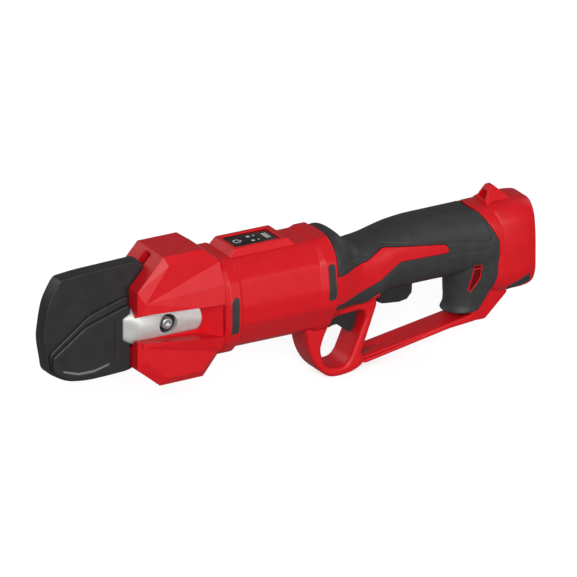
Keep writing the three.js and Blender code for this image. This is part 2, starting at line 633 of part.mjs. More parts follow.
/** Toothed outline: trapezoid teeth centred on phase, with equal tip and root lands. */
function toothedOutline(teeth, rootRadius, tipRadius, pitchRadius, phase) {
  const pitch = (2 * Math.PI) / teeth;
  const slope = (pitch * TOOTH_SHARE) / 4;
  const spread = (radius) => {
    const share = (radius - pitchRadius) / Math.abs(tipRadius - rootRadius);
    const inwards = tipRadius < rootRadius ? -1 : 1;
    return (pitch * TOOTH_SHARE) / 2 - inwards * share * slope * 2;
  };
  return Array.from({ length: teeth }, (_, tooth) => {
    const centre = phase + tooth * pitch;
    return [
      [rootRadius, centre - spread(rootRadius)],
      [tipRadius, centre - spread(tipRadius)],
      [tipRadius, centre + spread(tipRadius)],
      [rootRadius, centre + spread(rootRadius)],
    ];
  })
    .flat()
    .map(([radius, angle]) => [radius * Math.cos(angle), radius * Math.sin(angle)]);
}

/** Bevel teeth as one solid that narrows towards the apex, which is on the origin of along. */
function bevelTeeth(teeth, pitchRadius, distance, phase, toPoint) {
  const module = (2 * GEAR_RADIUS) / GEAR_TEETH;
  const slant = Math.hypot(pitchRadius, distance);
  const rise = (module * slant) / distance;
  const outline = toothedOutline(
    teeth,
    pitchRadius - DEDENDUM * rise,
    pitchRadius + ADDENDUM * rise,
    pitchRadius,
    phase,
  );
  const rings = [1, 1 - BEVEL_FACE / slant].map((scale) =>
    outline.map(([u, v]) => toPoint(u * scale, v * scale, distance * scale)),
  );
  return skinned(rings);
}

const GEAR_ROOT = GEAR_RADIUS - (DEDENDUM * 2 * GEAR_RADIUS * Math.hypot(GEAR_RADIUS, PINION_RADIUS)) /
  (GEAR_TEETH * PINION_RADIUS);

function sectorGear() {
  const pitch = (2 * Math.PI) / GEAR_TEETH;
  const toPoint = (u, v, along) => new THREE.Vector3(PIVOT_X + u, -along, v);
  const teeth = bevelTeeth(GEAR_TEETH, GEAR_RADIUS, PINION_RADIUS, pitch / 2, toPoint);
  const wedge = Array.from({ length: SECTOR_STEPS + 1 }, (_, i) => {
    const angle = SECTOR_FROM + ((SECTOR_TO - SECTOR_FROM) * i) / SECTOR_STEPS;
    const turn = THREE.MathUtils.degToRad(angle);
    return [PIVOT_X + 2 * GEAR_RADIUS * Math.cos(turn), 2 * GEAR_RADIUS * Math.sin(turn)];
  });
  const sector = plate([[PIVOT_X, 0], ...wedge], -REACH, REACH);
  const centre = [PIVOT_X, 0, 0];
  const back = disc(GEAR_ROOT, -PINION_RADIUS - BEVEL_BACK, -PINION_RADIUS, "y", centre, SMALL_ROUND);
  const face = -BLADE_OUTER - GAP;
  const hub = disc(GEAR_HUB_RADIUS, -PINION_RADIUS - BEVEL_BACK, face, "y", centre, SMALL_ROUND);
  const bore = disc(BOLT_RADIUS + RUNNING_GAP, -REACH, REACH, "y", centre, SMALL_ROUND);
  const clearOfBlade = block([-REACH, -REACH, -REACH], [REACH, face, REACH]);
  return teeth.add(back).intersect(sector).add(hub).intersect(clearOfBlade).subtract(bore);
}

function bevelPinion() {
  const toPoint = (u, v, along) => new THREE.Vector3(PIVOT_X + along, -u, v);
  const teeth = bevelTeeth(PINION_TEETH, PINION_RADIUS, GEAR_RADIUS, 0, toPoint);
  const back = PIVOT_X + GEAR_RADIUS;
  const collarRadius = PINION_RADIUS - COLLAR_STEP;
  const collar = disc(collarRadius, back - FACE_OVERLAP, BEARING_X - GAP, "x", ON_AXIS, SMALL_ROUND);
  const shaft = disc(PINION_SHAFT_RADIUS, back, CARRIER_X - GAP, "x", ON_AXIS, SMALL_ROUND);
  return join([teeth, collar, shaft]);
}

function pivotBolt() {
  const centre = [PIVOT_X, 0, 0];
  const seat = -RECESS_FLOOR - GAP;
  const shank = disc(BOLT_RADIUS, seat, RECESS_FLOOR + BOLT_HEAD_LENGTH, "y", centre, SMALL_ROUND);
  const head = turned(
    [
      [0, seat], [BOLT_HEAD_RADIUS, seat], [BOLT_HEAD_RADIUS, seat - BOLT_HEAD_LENGTH + BOLT_CHAMFER],
      [BOLT_HEAD_RADIUS - BOLT_CHAMFER, seat - BOLT_HEAD_LENGTH], [0, seat - BOLT_HEAD_LENGTH],
    ],
    "y",
    centre,
  );
  const driveEnd = seat - BOLT_HEAD_LENGTH + BOLT_DRIVE_DEPTH;
  const drive = disc(BOLT_DRIVE_RADIUS, -REACH, driveEnd, "y", centre, HEX);
  return shank.add(head).subtract(drive);
}

function pivotNut() {
  const centre = [PIVOT_X, 0, 0];
  const low = RECESS_FLOOR + GAP;
  const body = disc(NUT_RADIUS, low, low + BOLT_HEAD_LENGTH, "y", centre, HEX);
  return body.subtract(disc(BOLT_RADIUS + GAP, -REACH, REACH, "y", centre, SMALL_ROUND));
}

// ---------------------------------------------------------------- gearbox
const CASE_X = NOSE_LENGTH + NOSE_FLANGE_LENGTH + GAP;
const CARRIER_X = CASE_X + SLIDE_GAP;
const STAGE_PITCH = CARRIER_THICKNESS + PLANET_WIDTH + 2 * AXIAL_GAP + CARRIER_CLEARANCE;
const CASE_LENGTH = STAGES * STAGE_PITCH + CASE_END;
const PLANET_GEAR_RADIUS = (GEAR_MODULE * PLANET_TEETH) / 2;
const SUN_RADIUS = (GEAR_MODULE * SUN_TEETH) / 2;
const RING_RADIUS = (GEAR_MODULE * RING_TEETH) / 2;

function spurOutline(teeth, pitchRadius, phase, inside = false) {
  const side = inside ? -1 : 1;
  return toothedOutline(
    teeth,
    pitchRadius - side * DEDENDUM * GEAR_MODULE,
    pitchRadius + side * ADDENDUM * GEAR_MODULE,
    pitchRadius,
    phase,
  );
}

function gearCase() {
  const teeth = spurOutline(RING_TEETH, RING_RADIUS, 0, true);
  const body = disc(CASE_RADIUS, CASE_X, CASE_X + CASE_LENGTH, "x", ON_AXIS, ROUND);
  return body.subtract(bar(teeth, CASE_X - INTO, CASE_X + CASE_LENGTH + INTO));
}

const planetAngle = (index) => (2 * Math.PI * index) / PLANETS;
const planetCentre = (index) => [
  0, PLANET_ORBIT * Math.cos(planetAngle(index)), PLANET_ORBIT * Math.sin(planetAngle(index)),
];

function carrier(start) {
  const plateDisc = disc(CARRIER_RADIUS, start, start + CARRIER_THICKNESS, "x", ON_AXIS, ROUND);
  const pinEnd = start + CARRIER_THICKNESS + PLANET_WIDTH + 2 * AXIAL_GAP;
  const pins = Array.from({ length: PLANETS }, (_, index) =>
    disc(PLANET_PIN_RADIUS, start + INTO, pinEnd, "x", planetCentre(index), TINY_ROUND),
  );
  return join([plateDisc, ...pins]);
}

function planet(stage, index) {
  const low = CARRIER_X + stage * STAGE_PITCH + CARRIER_THICKNESS + AXIAL_GAP;
  const pitch = (2 * Math.PI) / PLANET_TEETH;
  const [, y, z] = planetCentre(index);
  const outline = spurOutline(PLANET_TEETH, PLANET_GEAR_RADIUS, planetAngle(index) + pitch / 2);
  const placed = outline.map(([u, v]) => [u + y, v + z]);
  const bore = disc(PLANET_PIN_RADIUS + RUNNING_GAP, -REACH, REACH, "x", [0, y, z], TINY_ROUND);
  return bar(placed, low, low + PLANET_WIDTH).subtract(bore);
}

/** Sun gear teeth from the planets of a stage up to the face that drives them. */
function sun(stage, end) {
  const low = CARRIER_X + stage * STAGE_PITCH + CARRIER_THICKNESS + AXIAL_GAP;
  return bar(spurOutline(SUN_TEETH, SUN_RADIUS, 0), low, end);
}

function middleCarrier() {
  const start = CARRIER_X + STAGE_PITCH;
  return carrier(start).add(sun(0, start + INTO));
}

// ---------------------------------------------------------------- motor
const MOTOR_X = CASE_X + CASE_LENGTH + GAP;
const MOTOR_BEARING_X = MOTOR_X + CAN_FACE + GAP;
const STATOR_X = MOTOR_BEARING_X + MOTOR_BEARING_WIDTH + STATOR_OFFSET;
const END_CAP_X = MOTOR_X + MOTOR_LENGTH + GAP;
const REAR_BEARING_X = END_CAP_X - GAP - MOTOR_BEARING_WIDTH;

function bearingSeat(low, high) {
  const inner = MOTOR_BEARING_RADIUS + GAP;
  return ring(inner, inner + BEARING_SEAT_WALL, low, high, "x", ON_AXIS, SMALL_ROUND);
}

function motorCan() {
  const end = MOTOR_X + MOTOR_LENGTH;
  const hole = SUN_RADIUS + SUN_CLEARANCE;
  const sleeve = ring(MOTOR_RADIUS - CAN_WALL, MOTOR_RADIUS, MOTOR_X, end, "x", ON_AXIS, ROUND);
  const face = ring(hole, MOTOR_RADIUS, MOTOR_X, MOTOR_X + CAN_FACE, "x", ON_AXIS, ROUND);
  const seat = bearingSeat(MOTOR_X + CAN_FACE - INTO, MOTOR_BEARING_X + MOTOR_BEARING_WIDTH);
  return join([sleeve, face, seat]);
}

function motorEndCap() {
  const hole = MOTOR_SHAFT_RADIUS + SHAFT_CLEARANCE;
  const face = ring(hole, MOTOR_RADIUS, END_CAP_X, END_CAP_X + CAN_FACE, "x", ON_AXIS, ROUND);
  return face.add(bearingSeat(REAR_BEARING_X, END_CAP_X + INTO));
}

function stator() {
  const outer = MOTOR_RADIUS - CAN_WALL - GAP;
  const end = STATOR_X + STATOR_LENGTH;
  const yoke = ring(outer - STATOR_YOKE, outer, STATOR_X, end, "x", ON_AXIS, ROUND);
  const poles = Array.from({ length: STATOR_POLES }, (_, index) => {
    const pole = block(
      [STATOR_X, -POLE_HALF_WIDTH, ROTOR_RADIUS],
      [end, POLE_HALF_WIDTH, outer - STATOR_YOKE + INTO],
    );
    return pole.rotate([(index * 360) / STATOR_POLES, 0, 0]);
  });
  const bore = disc(ROTOR_RADIUS + AIR_GAP, -REACH, REACH, "x", ON_AXIS, ROUND);
  return join([yoke, ...poles]).subtract(bore);
}

function rotor() {
  const low = STATOR_X - ROTOR_OVERHANG;
  const high = STATOR_X + STATOR_LENGTH + ROTOR_OVERHANG;
  return ring(MOTOR_SHAFT_RADIUS + GAP, ROTOR_RADIUS, low, high, "x", ON_AXIS, ROUND);
}

function motorShaft() {
  const sunEnd = MOTOR_X - AXIAL_GAP;
  const rod = disc(MOTOR_SHAFT_RADIUS, sunEnd - INTO, END_CAP_X + CAN_FACE - INTO, "x", ON_AXIS, SMALL_ROUND);
  return sun(1, sunEnd).add(rod);
}

const bearing = (shaftRadius, outer, width) => (low) =>
  ring(shaftRadius + RUNNING_GAP, outer, low, low + width, "x", ON_AXIS, SMALL_ROUND);

const motorBearing = bearing(MOTOR_SHAFT_RADIUS, MOTOR_BEARING_RADIUS, MOTOR_BEARING_WIDTH);
const pinionBearing = bearing(PINION_SHAFT_RADIUS, PINION_BEARING_RADIUS, PINION_BEARING_WIDTH);
const REAR_PINION_BEARING_X = CASE_X - GAP - PINION_BEARING_WIDTH - INTO;

// ---------------------------------------------------------------- body shells
const LEFT_SIDE = block([-REACH, -REACH, -REACH], [2 * REACH, -HALF_SPLIT, REACH]);
const RIGHT_SIDE = block([-REACH, HALF_SPLIT, -REACH], [2 * REACH, REACH, REACH]);

function screw([x, z, seat]) {
  const centre = [x, 0, z];
  const shank = disc(SCREW_RADIUS, SCREW_HOLD - seat, seat + INTO, "y", centre, TINY_ROUND);
  const head = disc(SCREW_HEAD_RADIUS, seat, seat + SCREW_HEAD_LENGTH, "y", centre, SMALL_ROUND);
  const driveEnd = seat + SCREW_HEAD_LENGTH - SCREW_DRIVE_DEPTH;
  const drive = disc(SCREW_DRIVE_RADIUS, driveEnd, REACH, "y", centre, HEX);
  return shank.add(head).subtract(drive);
}

function screwRoom([x, z, seat]) {
  const centre = [x, 0, z];
  const hole = disc(SCREW_RADIUS + GAP, SCREW_HOLD - seat - GAP, seat, "y", centre, TINY_ROUND);
  const counterbore = disc(SCREW_HEAD_RADIUS + GAP, seat - GAP, REACH, "y", centre, SMALL_ROUND);
  return hole.add(counterbore);
}

function gripLoft(inset) {
  const placed = (stations, start) =>
    stations.map(([x, top, bottom, halfWidth]) => ({
      x: start + x,
      points: oval(halfWidth - inset, top - inset, bottom + inset),
    }));
  return loft([...placed(NECK_STATIONS, NECK_X), ...placed(REAR_STATIONS, HOUSING_X)]);
}

function post(inset) {
  const middle = HOUSING_X + (POST_CORNERS[0][0] + POST_CORNERS.at(-1)[0]) / 2;
  return hull(
    POST_CORNERS.map(([x, y, z]) => [
      HOUSING_X + x - Math.sign(HOUSING_X + x - middle) * inset,
      y - inset,
      z === POST_FOOT ? z + inset : z,
    ]),
  );
}

const handle = (inset) => gripLoft(inset).add(post(inset));

/** Side outline of the overmold. */
const overmoldOutline = () => [
  ...shifted(OVERMOLD_FRONT, NECK_X),
  ...shifted(OVERMOLD_REAR, HOUSING_X),
  [NECK_X + OVERMOLD_FRONT[0][0], REACH],
];

/** The guard: finger loop and bar, grown by extra on every side. */
function guard(extra) {
  const barOutline = [...shifted(BAR_FRONT, NECK_X), ...shifted(BAR_REAR, HOUSING_X)];
  const loopSide = LOOP_HALF_WIDTH + extra;
  const barSide = BAR_HALF_WIDTH + extra;
  const loopBody = plate(grown(shifted(LOOP_OUTLINE, NECK_X), extra), -loopSide, loopSide);
  const opening = plate(grown(shifted(LOOP_OPENING, NECK_X), -extra), -REACH, REACH);
  return loopBody.subtract(opening).add(plate(grown(barOutline, extra), -barSide, barSide));
}

function housing() {
  const section = mirrored(HOUSING_SECTION);
  const body = loft([
    { x: HOUSING_X - HOUSING_FRONT_SLOPE, points: grown(section, -HOUSING_FRONT_INSET) },
    { x: HOUSING_X + HOUSING_FRONT_SLOPE, points: section },
    { x: REAR_X - HOUSING_REAR_SLOPE, points: section },
    { x: REAR_X, points: grown(section, -HOUSING_REAR_INSET) },
  ]);
  return body.add(hull(LUG_CORNERS.map(([x, y, z]) => [HOUSING_X + x, y, z])));
}

function tetherEye() {
  const lug = hull(EYE_CORNERS.map(([x, y, z]) => [HOUSING_X + x, y, z]));
  return lug.subtract(bar(EYE_TUNNEL, -REACH, 2 * REACH));
}

function flange() {
  const section = mirrored(FLANGE_SECTION);
  return loft([
    { x: FLANGE_X, points: grown(section, -FLANGE_CHAMFER) },
    { x: FLANGE_X + FLANGE_SLOPE, points: section },
    { x: BARREL_X - FLANGE_REAR_CHAMFER, points: section },
    { x: BARREL_X, points: grown(section, -FLANGE_REAR_CHAMFER) },
  ]);
}

function barrel(rise) {
  const section = mirrored(BARREL_SECTION);
  const ringSection = grown(section, RING_RISE + rise);
  return loft([
    { x: FLANGE_X + FLANGE_SLOPE + INTO, points: grown(section, rise) },
    { x: RING_X, points: grown(section, rise) },
    { x: RING_X + RING_SLOPE, points: ringSection },
    { x: NECK_X, points: ringSection },
  ]);
}

function pod() {
  const front = BARREL_X + POD_FRONT;
  const rear = front + POD_LENGTH;
  return hull([
    [front - POD_SLOPE, POD_HALF_WIDTH + POD_DRAFT, POD_FOOT],
    [front, POD_HALF_WIDTH, POD_TOP],
    [rear, POD_HALF_WIDTH, POD_TOP],
    [rear + POD_SLOPE, POD_HALF_WIDTH + POD_DRAFT, POD_FOOT],
  ]);
}

function panelRoom() {
  const low = BARREL_X + PANEL_FRONT;
  const high = low + PANEL_LENGTH;
  const seat = PANEL_TOP - PANEL_THICKNESS - GAP;
  const side = PANEL_HALF_WIDTH + GAP;
  const opening = block([low - GAP, -side, seat], [high + GAP, side, REACH]);
  const inner = side - PANEL_LEDGE;
  const well = block([low + PANEL_LEDGE, -inner, 0], [high - PANEL_LEDGE, inner, seat + INTO]);
  return opening.add(well);
}

/** Where the inserts and pads sit: side outline, the plane of the pocket floor and the outer body. */
function trims() {
  const flangeSection = grown(mirrored(FLANGE_SECTION), INSERT_RISE);
  const housingSection = grown(mirrored(HOUSING_SECTION), INSERT_RISE);
  return {
    front_insert: {
      outline: shifted(FRONT_INSERT, FLANGE_X),
      floor: FLANGE_HALF_WIDTH - INSERT_DEPTH,
      limit: loft([FLANGE_X, BARREL_X].map((x) => ({ x, points: flangeSection }))),
    },
    rear_insert: {
      outline: shifted(REAR_INSERT, NECK_X),
      floor: BARREL_HALF_WIDTH,
      limit: barrel(INSERT_RISE),
    },
    rear_pad: {
      outline: shifted(PAD_OUTLINE, REAR_X),
      floor: HOUSING_FOOT_HALF_WIDTH + PAD_DEPTH,
      limit: loft([HOUSING_X, REAR_X].map((x) => ({ x, points: housingSection }))),
    },
  };
}

/** One insert or pad on one side; its pocket is the same outline grown by the gap. */
function trimPiece({ outline, floor, limit }, side) {
  const low = floor + GAP;
  const piece = side < 0 ? plate(outline, -REACH, -low) : plate(outline, low, REACH);
  return piece.intersect(limit);
}

function trimPocket({ outline, floor }) {
  const opening = plate(grown(outline, GAP), -REACH, REACH);
  return opening.subtract(block([-REACH, -floor, -REACH], [2 * REACH, floor, REACH]));
}

/** Everything hollow inside the shells. */
function insideRoom() {
  const drive = disc(DRIVE_CAVITY_RADIUS, FLANGE_X - INTO, NECK_X - DRIVE_WALL, "x", ON_AXIS, ROUND);
  const caseRibs = [CASE_X + CASE_RIB_INSET, CASE_X + CASE_LENGTH - CASE_RIB_INSET - CASE_RIB].map((x) =>
    ring(CASE_RADIUS + GAP, DRIVE_CAVITY_RADIUS + INTO, x, x + CASE_RIB, "x", ON_AXIS, ROUND),
  );
  const inset = OVERMOLD_THICKNESS + GAP + WALL;
  const socketX = REAR_X - SOCKET_DEPTH;
  const upToSocket = block([0, -REACH, -REACH], [socketX + INTO, REACH, REACH]);
  const gripRoom = gripLoft(inset).intersect(upToSocket);
  const railSide = BOARD_HALF_WIDTH - RAIL_OVERLAP;
  const rails = block(
    [NECK_X + RAIL_ENDS[0], -REACH, BOARD_Z - GAP - RAIL_THICKNESS],
    [NECK_X + RAIL_ENDS[1], REACH, BOARD_Z - GAP],
  ).subtract(block([0, -railSide, -REACH], [2 * REACH, railSide, REACH]));
  const socket = loft(
    [socketX, REAR_X + INTO].map((x) => ({ x, points: oval(SOCKET_HALF_WIDTH, SOCKET_TOP, SOCKET_BOTTOM) })),
  );
  return join([cut(drive, caseRibs), gripRoom.subtract(rails), socket, panelRoom()]);
}

/** Slots that the trigger's lobes and lever move in, all ahead of its pin. */
function triggerSlots() {
  const slots = TRIGGER_SLOTS.map(([[x, z], [endX, topZ]]) =>
    block([NECK_X + x, -TRIGGER_SLOT, z], [NECK_X + endX, TRIGGER_SLOT, topZ]),
  );
  const lever = block(
    [NECK_X + LEVER_SLOT[0][0], -TRIGGER_SLOT, LEVER_SLOT[0][1]],
    [NECK_X + LEVER_SLOT[1][0], TRIGGER_SLOT, LEVER_SLOT[1][1]],
  );
  return join([...slots, lever.intersect(gripLoft(GAP))]);
}

const pinAxis = () => [NECK_X + TRIGGER_PIN[0], 0, TRIGGER_PIN[1]];

function pinBosses() {
  const boss = disc(TRIGGER_PIN_RADIUS + PIN_BOSS_WALL, -REACH, REACH, "y", pinAxis(), SMALL_ROUND);
  const low = TRIGGER_HALF_WIDTH + SLIDE_GAP;
  const between = block([0, -low, -REACH], [2 * REACH, low, REACH]);
  return boss.intersect(handle(OVERMOLD_THICKNESS + GAP)).subtract(between);
}

function pinRoom() {
  const end = PIN_HALF_LENGTH + GAP;
  return disc(TRIGGER_PIN_RADIUS + GAP, -end, end, "y", pinAxis(), TINY_ROUND);
}

function overmoldSide() {
  const outline = overmoldOutline();
  const accent = shifted(ACCENT_OUTLINE, NECK_X);
  const slot = shifted(AIR_SLOT, HOUSING_X);
  return {
    skin: plate(outline, -REACH, REACH)
      .subtract(plate(grown(accent, GAP), -REACH, REACH))
      .subtract(plate(slot, -REACH, REACH)),
    recess: plate(grown(outline, GAP), -REACH, REACH).subtract(plate(accent, -REACH, REACH)),
    slot: plate(slot, -REACH, REACH),
  };
}

function shellsAndOvermolds() {
  const side = overmoldSide();
  const outer = handle(0);
  const red = join([flange(), barrel(0), pod(), outer, housing(), tetherEye()]);
  const beyond = handle(-1);
  const recess = beyond
    .subtract(handle(OVERMOLD_THICKNESS + GAP))
    .intersect(side.recess)
    .subtract(barrel(0))
    .subtract(housing());
  const airPocket = beyond.subtract(handle(OVERMOLD_THICKNESS + AIR_SLOT_DEPTH)).intersect(side.slot);
  const whole = red
    .subtract(recess)
    .subtract(airPocket)
    .add(guard(0))
    .subtract(insideRoom())
    .add(pinBosses())
    .subtract(triggerSlots())
    .subtract(pinRoom())
    .subtract(join(Object.values(trims()).map(trimPocket)))
    .subtract(join(SHELL_SCREWS.map(screwRoom)));
  const skin = recess
    .intersect(outer)
    .subtract(handle(OVERMOLD_THICKNESS))
    .intersect(side.skin)
    .subtract(guard(GAP))
    .subtract(triggerSlots());
  return { whole, skin };
}

// ---------------------------------------------------------------- electronics and controls
function controlPanel() {
  const low = BARREL_X + PANEL_FRONT;
  const sheet = block(
    [low, -PANEL_HALF_WIDTH, PANEL_TOP - PANEL_THICKNESS],
    [low + PANEL_LENGTH, PANEL_HALF_WIDTH, PANEL_TOP],
  );
  const hole = upright(BUTTON_RADIUS + GAP, 0, REACH, [BARREL_X + BUTTON_X, 0]);
  return sheet.subtract(hole);
}

function upright(radius, low, high, [x, y]) {
  const geometry = new THREE.CylinderGeometry(radius, radius, high - low, SMALL_ROUND);
  geometry.rotateX(Math.PI / 2);
  geometry.translate(x, y, (low + high) / 2);
  return solid(geometry);
}

const PANEL_BOARD_TOP = PANEL_TOP - PANEL_THICKNESS - PANEL_BOARD_DROP;
const PANEL_BOTTOM = PANEL_TOP - PANEL_THICKNESS;

function powerButton() {
  const centre = [BARREL_X + BUTTON_X, 0];
  const cap = upright(BUTTON_RADIUS, PANEL_BOTTOM - BUTTON_FLOAT, PANEL_TOP, centre);
  const stemEnd = PANEL_BOARD_TOP + BUTTON_TRAVEL + GAP;
  const stem = upright(BUTTON_RADIUS / 2, stemEnd, PANEL_TOP - INTO, centre);
  return cap.add(stem);
}

function panelBoard() {
  const inset = PANEL_LEDGE + GAP;
  const low = BARREL_X + PANEL_FRONT + inset;
  const side = PANEL_HALF_WIDTH - inset;
  return block(
    [low, -side, PANEL_BOARD_TOP - BOARD_THICKNESS],
    [low + PANEL_LENGTH - 2 * inset, side, PANEL_BOARD_TOP],
  );
}

/** A block as wide on both sides, between two x values and two z values. */
const centred = ([lowX, highX], halfWidth, [lowZ, highZ]) =>
  block([lowX, -halfWidth, lowZ], [highX, halfWidth, highZ]);

const fromNeck = (ends) => ends.map((x) => NECK_X + x);

const mainBoard = () =>
  centred(fromNeck(BOARD_ENDS), BOARD_HALF_WIDTH, [BOARD_Z, BOARD_Z + BOARD_THICKNESS]);

const triggerSensor = () =>
  centred(fromNeck(SENSOR_ENDS), SENSOR_HALF_WIDTH, [SENSOR_BOTTOM, BOARD_Z - RAIL_THICKNESS - 2 * GAP]);

function trigger() {
  const bore = disc(TRIGGER_PIN_RADIUS + RUNNING_GAP, -REACH, REACH, "y", pinAxis(), TINY_ROUND);
  return plate(shifted(TRIGGER_OUTLINE, NECK_X), -TRIGGER_HALF_WIDTH, TRIGGER_HALF_WIDTH).subtract(bore);
}

const triggerPin = () =>
  disc(TRIGGER_PIN_RADIUS, -PIN_HALF_LENGTH, PIN_HALF_LENGTH, "y", pinAxis(), TINY_ROUND);

function triggerSpring() {
  class Helix extends THREE.Curve {
    getPoint(share, target = new THREE.Vector3()) {
      const angle = share * SPRING_TURNS * 2 * Math.PI;
      const rise = SPRING_HIGH - SPRING_LOW - 2 * SPRING_WIRE;
      return target.set(
        NECK_X + SPRING_X + SPRING_RADIUS * Math.cos(angle),
        SPRING_RADIUS * Math.sin(angle),
        SPRING_LOW + SPRING_WIRE + rise * share,
      );
    }
  }
  const section = Array.from({ length: SPRING_WIRE_SIDES }, (_, i) => {
    const angle = (2 * Math.PI * i) / SPRING_WIRE_SIDES;
    return new THREE.Vector2(SPRING_WIRE * Math.cos(angle), SPRING_WIRE * Math.sin(angle));
  });
  const path = new Helix();
  const steps = SPRING_TURNS * SPRING_TURN_STEPS;
  return solid(new THREE.ExtrudeGeometry(new THREE.Shape(section), { steps, extrudePath: path }));
}

const TERMINAL_X = REAR_X - SOCKET_DEPTH - TERMINAL_OFFSET;
const CONTACT_X = TERMINAL_X + TERMINAL_LENGTH + GAP;

const terminalBlock = () =>
  centred([TERMINAL_X, TERMINAL_X + TERMINAL_LENGTH], TERMINAL_HALF_WIDTH, TERMINAL_ENDS);

const batteryContact = (side) =>
  centred([CONTACT_X, CONTACT_X + CONTACT_LENGTH], CONTACT_HALF_WIDTH, CONTACT_ENDS).translate([
    0, side * CONTACT_SPACING, 0,
  ]);

// ---------------------------------------------------------------- sheath
function sheath() {
  const body = plate(SHEATH_OUTLINE, -SHEATH_HALF_WIDTH, SHEATH_HALF_WIDTH);
  const step = (top, side) => plate([...top, ...SHEATH_RAISED_BASE], -side, side);
  const raised = step(SHEATH_STEP_LOW, SHEATH_RAISED_HALF_WIDTH);
  const shoulder = step(SHEATH_STEP_TOP, SHEATH_SHOULDER_HALF_WIDTH);
  const roomSide = SHEATH_HALF_WIDTH - SHEATH_WALL;
  const roomOutline = grown(SHEATH_OUTLINE, -SHEATH_EDGE);
  const room = plate(roomOutline, -roomSide, roomSide);
  const mouthTop = roomOutline[0][1];
  const mouthBottom = roomOutline[roomOutline.length - 1][1];
  const mouth = block([SHEATH_MOUTH_X, -roomSide, mouthBottom], [REACH, roomSide, mouthTop]);
  const noseRoom = turned(
    [
      [0, NOSE_TIP - SLIDE_GAP], [NOSE_TIP_RADIUS + SLIDE_GAP, NOSE_TIP - SLIDE_GAP],
      [NOSE_RADIUS + SLIDE_GAP, 0], [NOSE_RADIUS + SLIDE_GAP, REACH], [0, REACH],
    ],
    "x",
    ON_AXIS,
    ROUND,
  );
  return cut(join([body, shoulder, raised]), [room, mouth, noseRoom]);
}

// ---------------------------------------------------------------- assembly
const assembly = new THREE.Group();
const tool = new THREE.Group();
tool.position.set(-(SHEATH_TIP + REAR_X) / 2, 0, BASE_DEPTH);
assembly.add(tool);

function add(name, made, material) {
  const mesh = new THREE.Mesh(geometryOf(withoutFlakes(made)), material.clone());
  mesh.name = name;
  tool.add(mesh);
}

const covers = headCovers();
const { whole, skin } = shellsAndOvermolds();
add("left_shell", whole.intersect(LEFT_SIDE), RED);
add("right_shell", whole.intersect(RIGHT_SIDE), RED);
add("left_head_cover", covers.left, RED);
add("right_head_cover", covers.right, RED);
add("left_overmold", skin.intersect(LEFT_SIDE), SOFT_BLACK);
add("right_overmold", skin.intersect(RIGHT_SIDE), SOFT_BLACK);
Object.entries(trims()).forEach(([name, trim]) => {
  add(`left_${name}`, trimPiece(trim, -1), SOFT_BLACK);
  add(`right_${name}`, trimPiece(trim, 1), SOFT_BLACK);
});

add("gear_head", nose(), CAST_SILVER);
add("counter_blade", counterBlade(), STEEL);
add("moving_blade", movingBlade(), STEEL);
add("sector_gear", sectorGear(), DARK_STEEL);
add("pivot_bolt", pivotBolt(), STEEL);
add("pivot_nut", pivotNut(), STEEL);
add("bevel_pinion", bevelPinion(), DARK_STEEL);
add("front_pinion_bearing", pinionBearing(BEARING_X), STEEL);
add("rear_pinion_bearing", pinionBearing(REAR_PINION_BEARING_X), STEEL);

add("gear_case", gearCase(), DARK_STEEL);
add("output_carrier", carrier(CARRIER_X), DARK_STEEL);
add("middle_carrier", middleCarrier(), DARK_STEEL);
["output", "input"].forEach((stageName, stage) => {
  for (let index = 0; index < PLANETS; index += 1) {
    add(`${stageName}_planet_${index + 1}`, planet(stage, index), STEEL);
  }
});

add("motor_can", motorCan(), DARK_STEEL);
add("motor_end_cap", motorEndCap(), BLACK_PLASTIC);
add("stator", stator(), COPPER);
add("rotor", rotor(), DARK_STEEL);
add("motor_shaft", motorShaft(), STEEL);
add("front_motor_bearing", motorBearing(MOTOR_BEARING_X), STEEL);
add("rear_motor_bearing", motorBearing(REAR_BEARING_X), STEEL);

add("control_panel", controlPanel(), GLOSS_BLACK);
add("power_button", powerButton(), GLOSS_BLACK);
add("panel_board", panelBoard(), BOARD_GREEN);
add("main_board", mainBoard(), BOARD_GREEN);
add("trigger", trigger(), BLACK_PLASTIC);
add("trigger_pin", triggerPin(), STEEL);
add("trigger_spring", triggerSpring(), STEEL);
add("trigger_sensor", triggerSensor(), BLACK_PLASTIC);
add("terminal_block", terminalBlock(), BLACK_PLASTIC);
add("positive_contact", batteryContact(-1), COPPER);
add("negative_contact", batteryContact(1), COPPER);
add("sheath", sheath(), BLACK_PLASTIC);
SHELL_SCREWS.forEach((station, index) => add(`shell_screw_${index + 1}`, screw(station), STEEL));
COVER_SCREWS.forEach((station, index) => add(`cover_screw_${index + 1}`, screw(station), STEEL));

export default assembly;
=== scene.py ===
# %% [markdown]
# # A battery electric pruner
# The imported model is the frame: it fixes every size and place. This lesson builds the looks round
# it, piece by piece. Lengths in the cells are millimetres from the drive axis, as a maker would
# measure the tool: x runs back along the motor axis from the shoulder of the nose, y to the
# right, z up.

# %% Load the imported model
import json
import math

import bmesh
import bpy
import numpy as np
from mathutils import Matrix, Vector

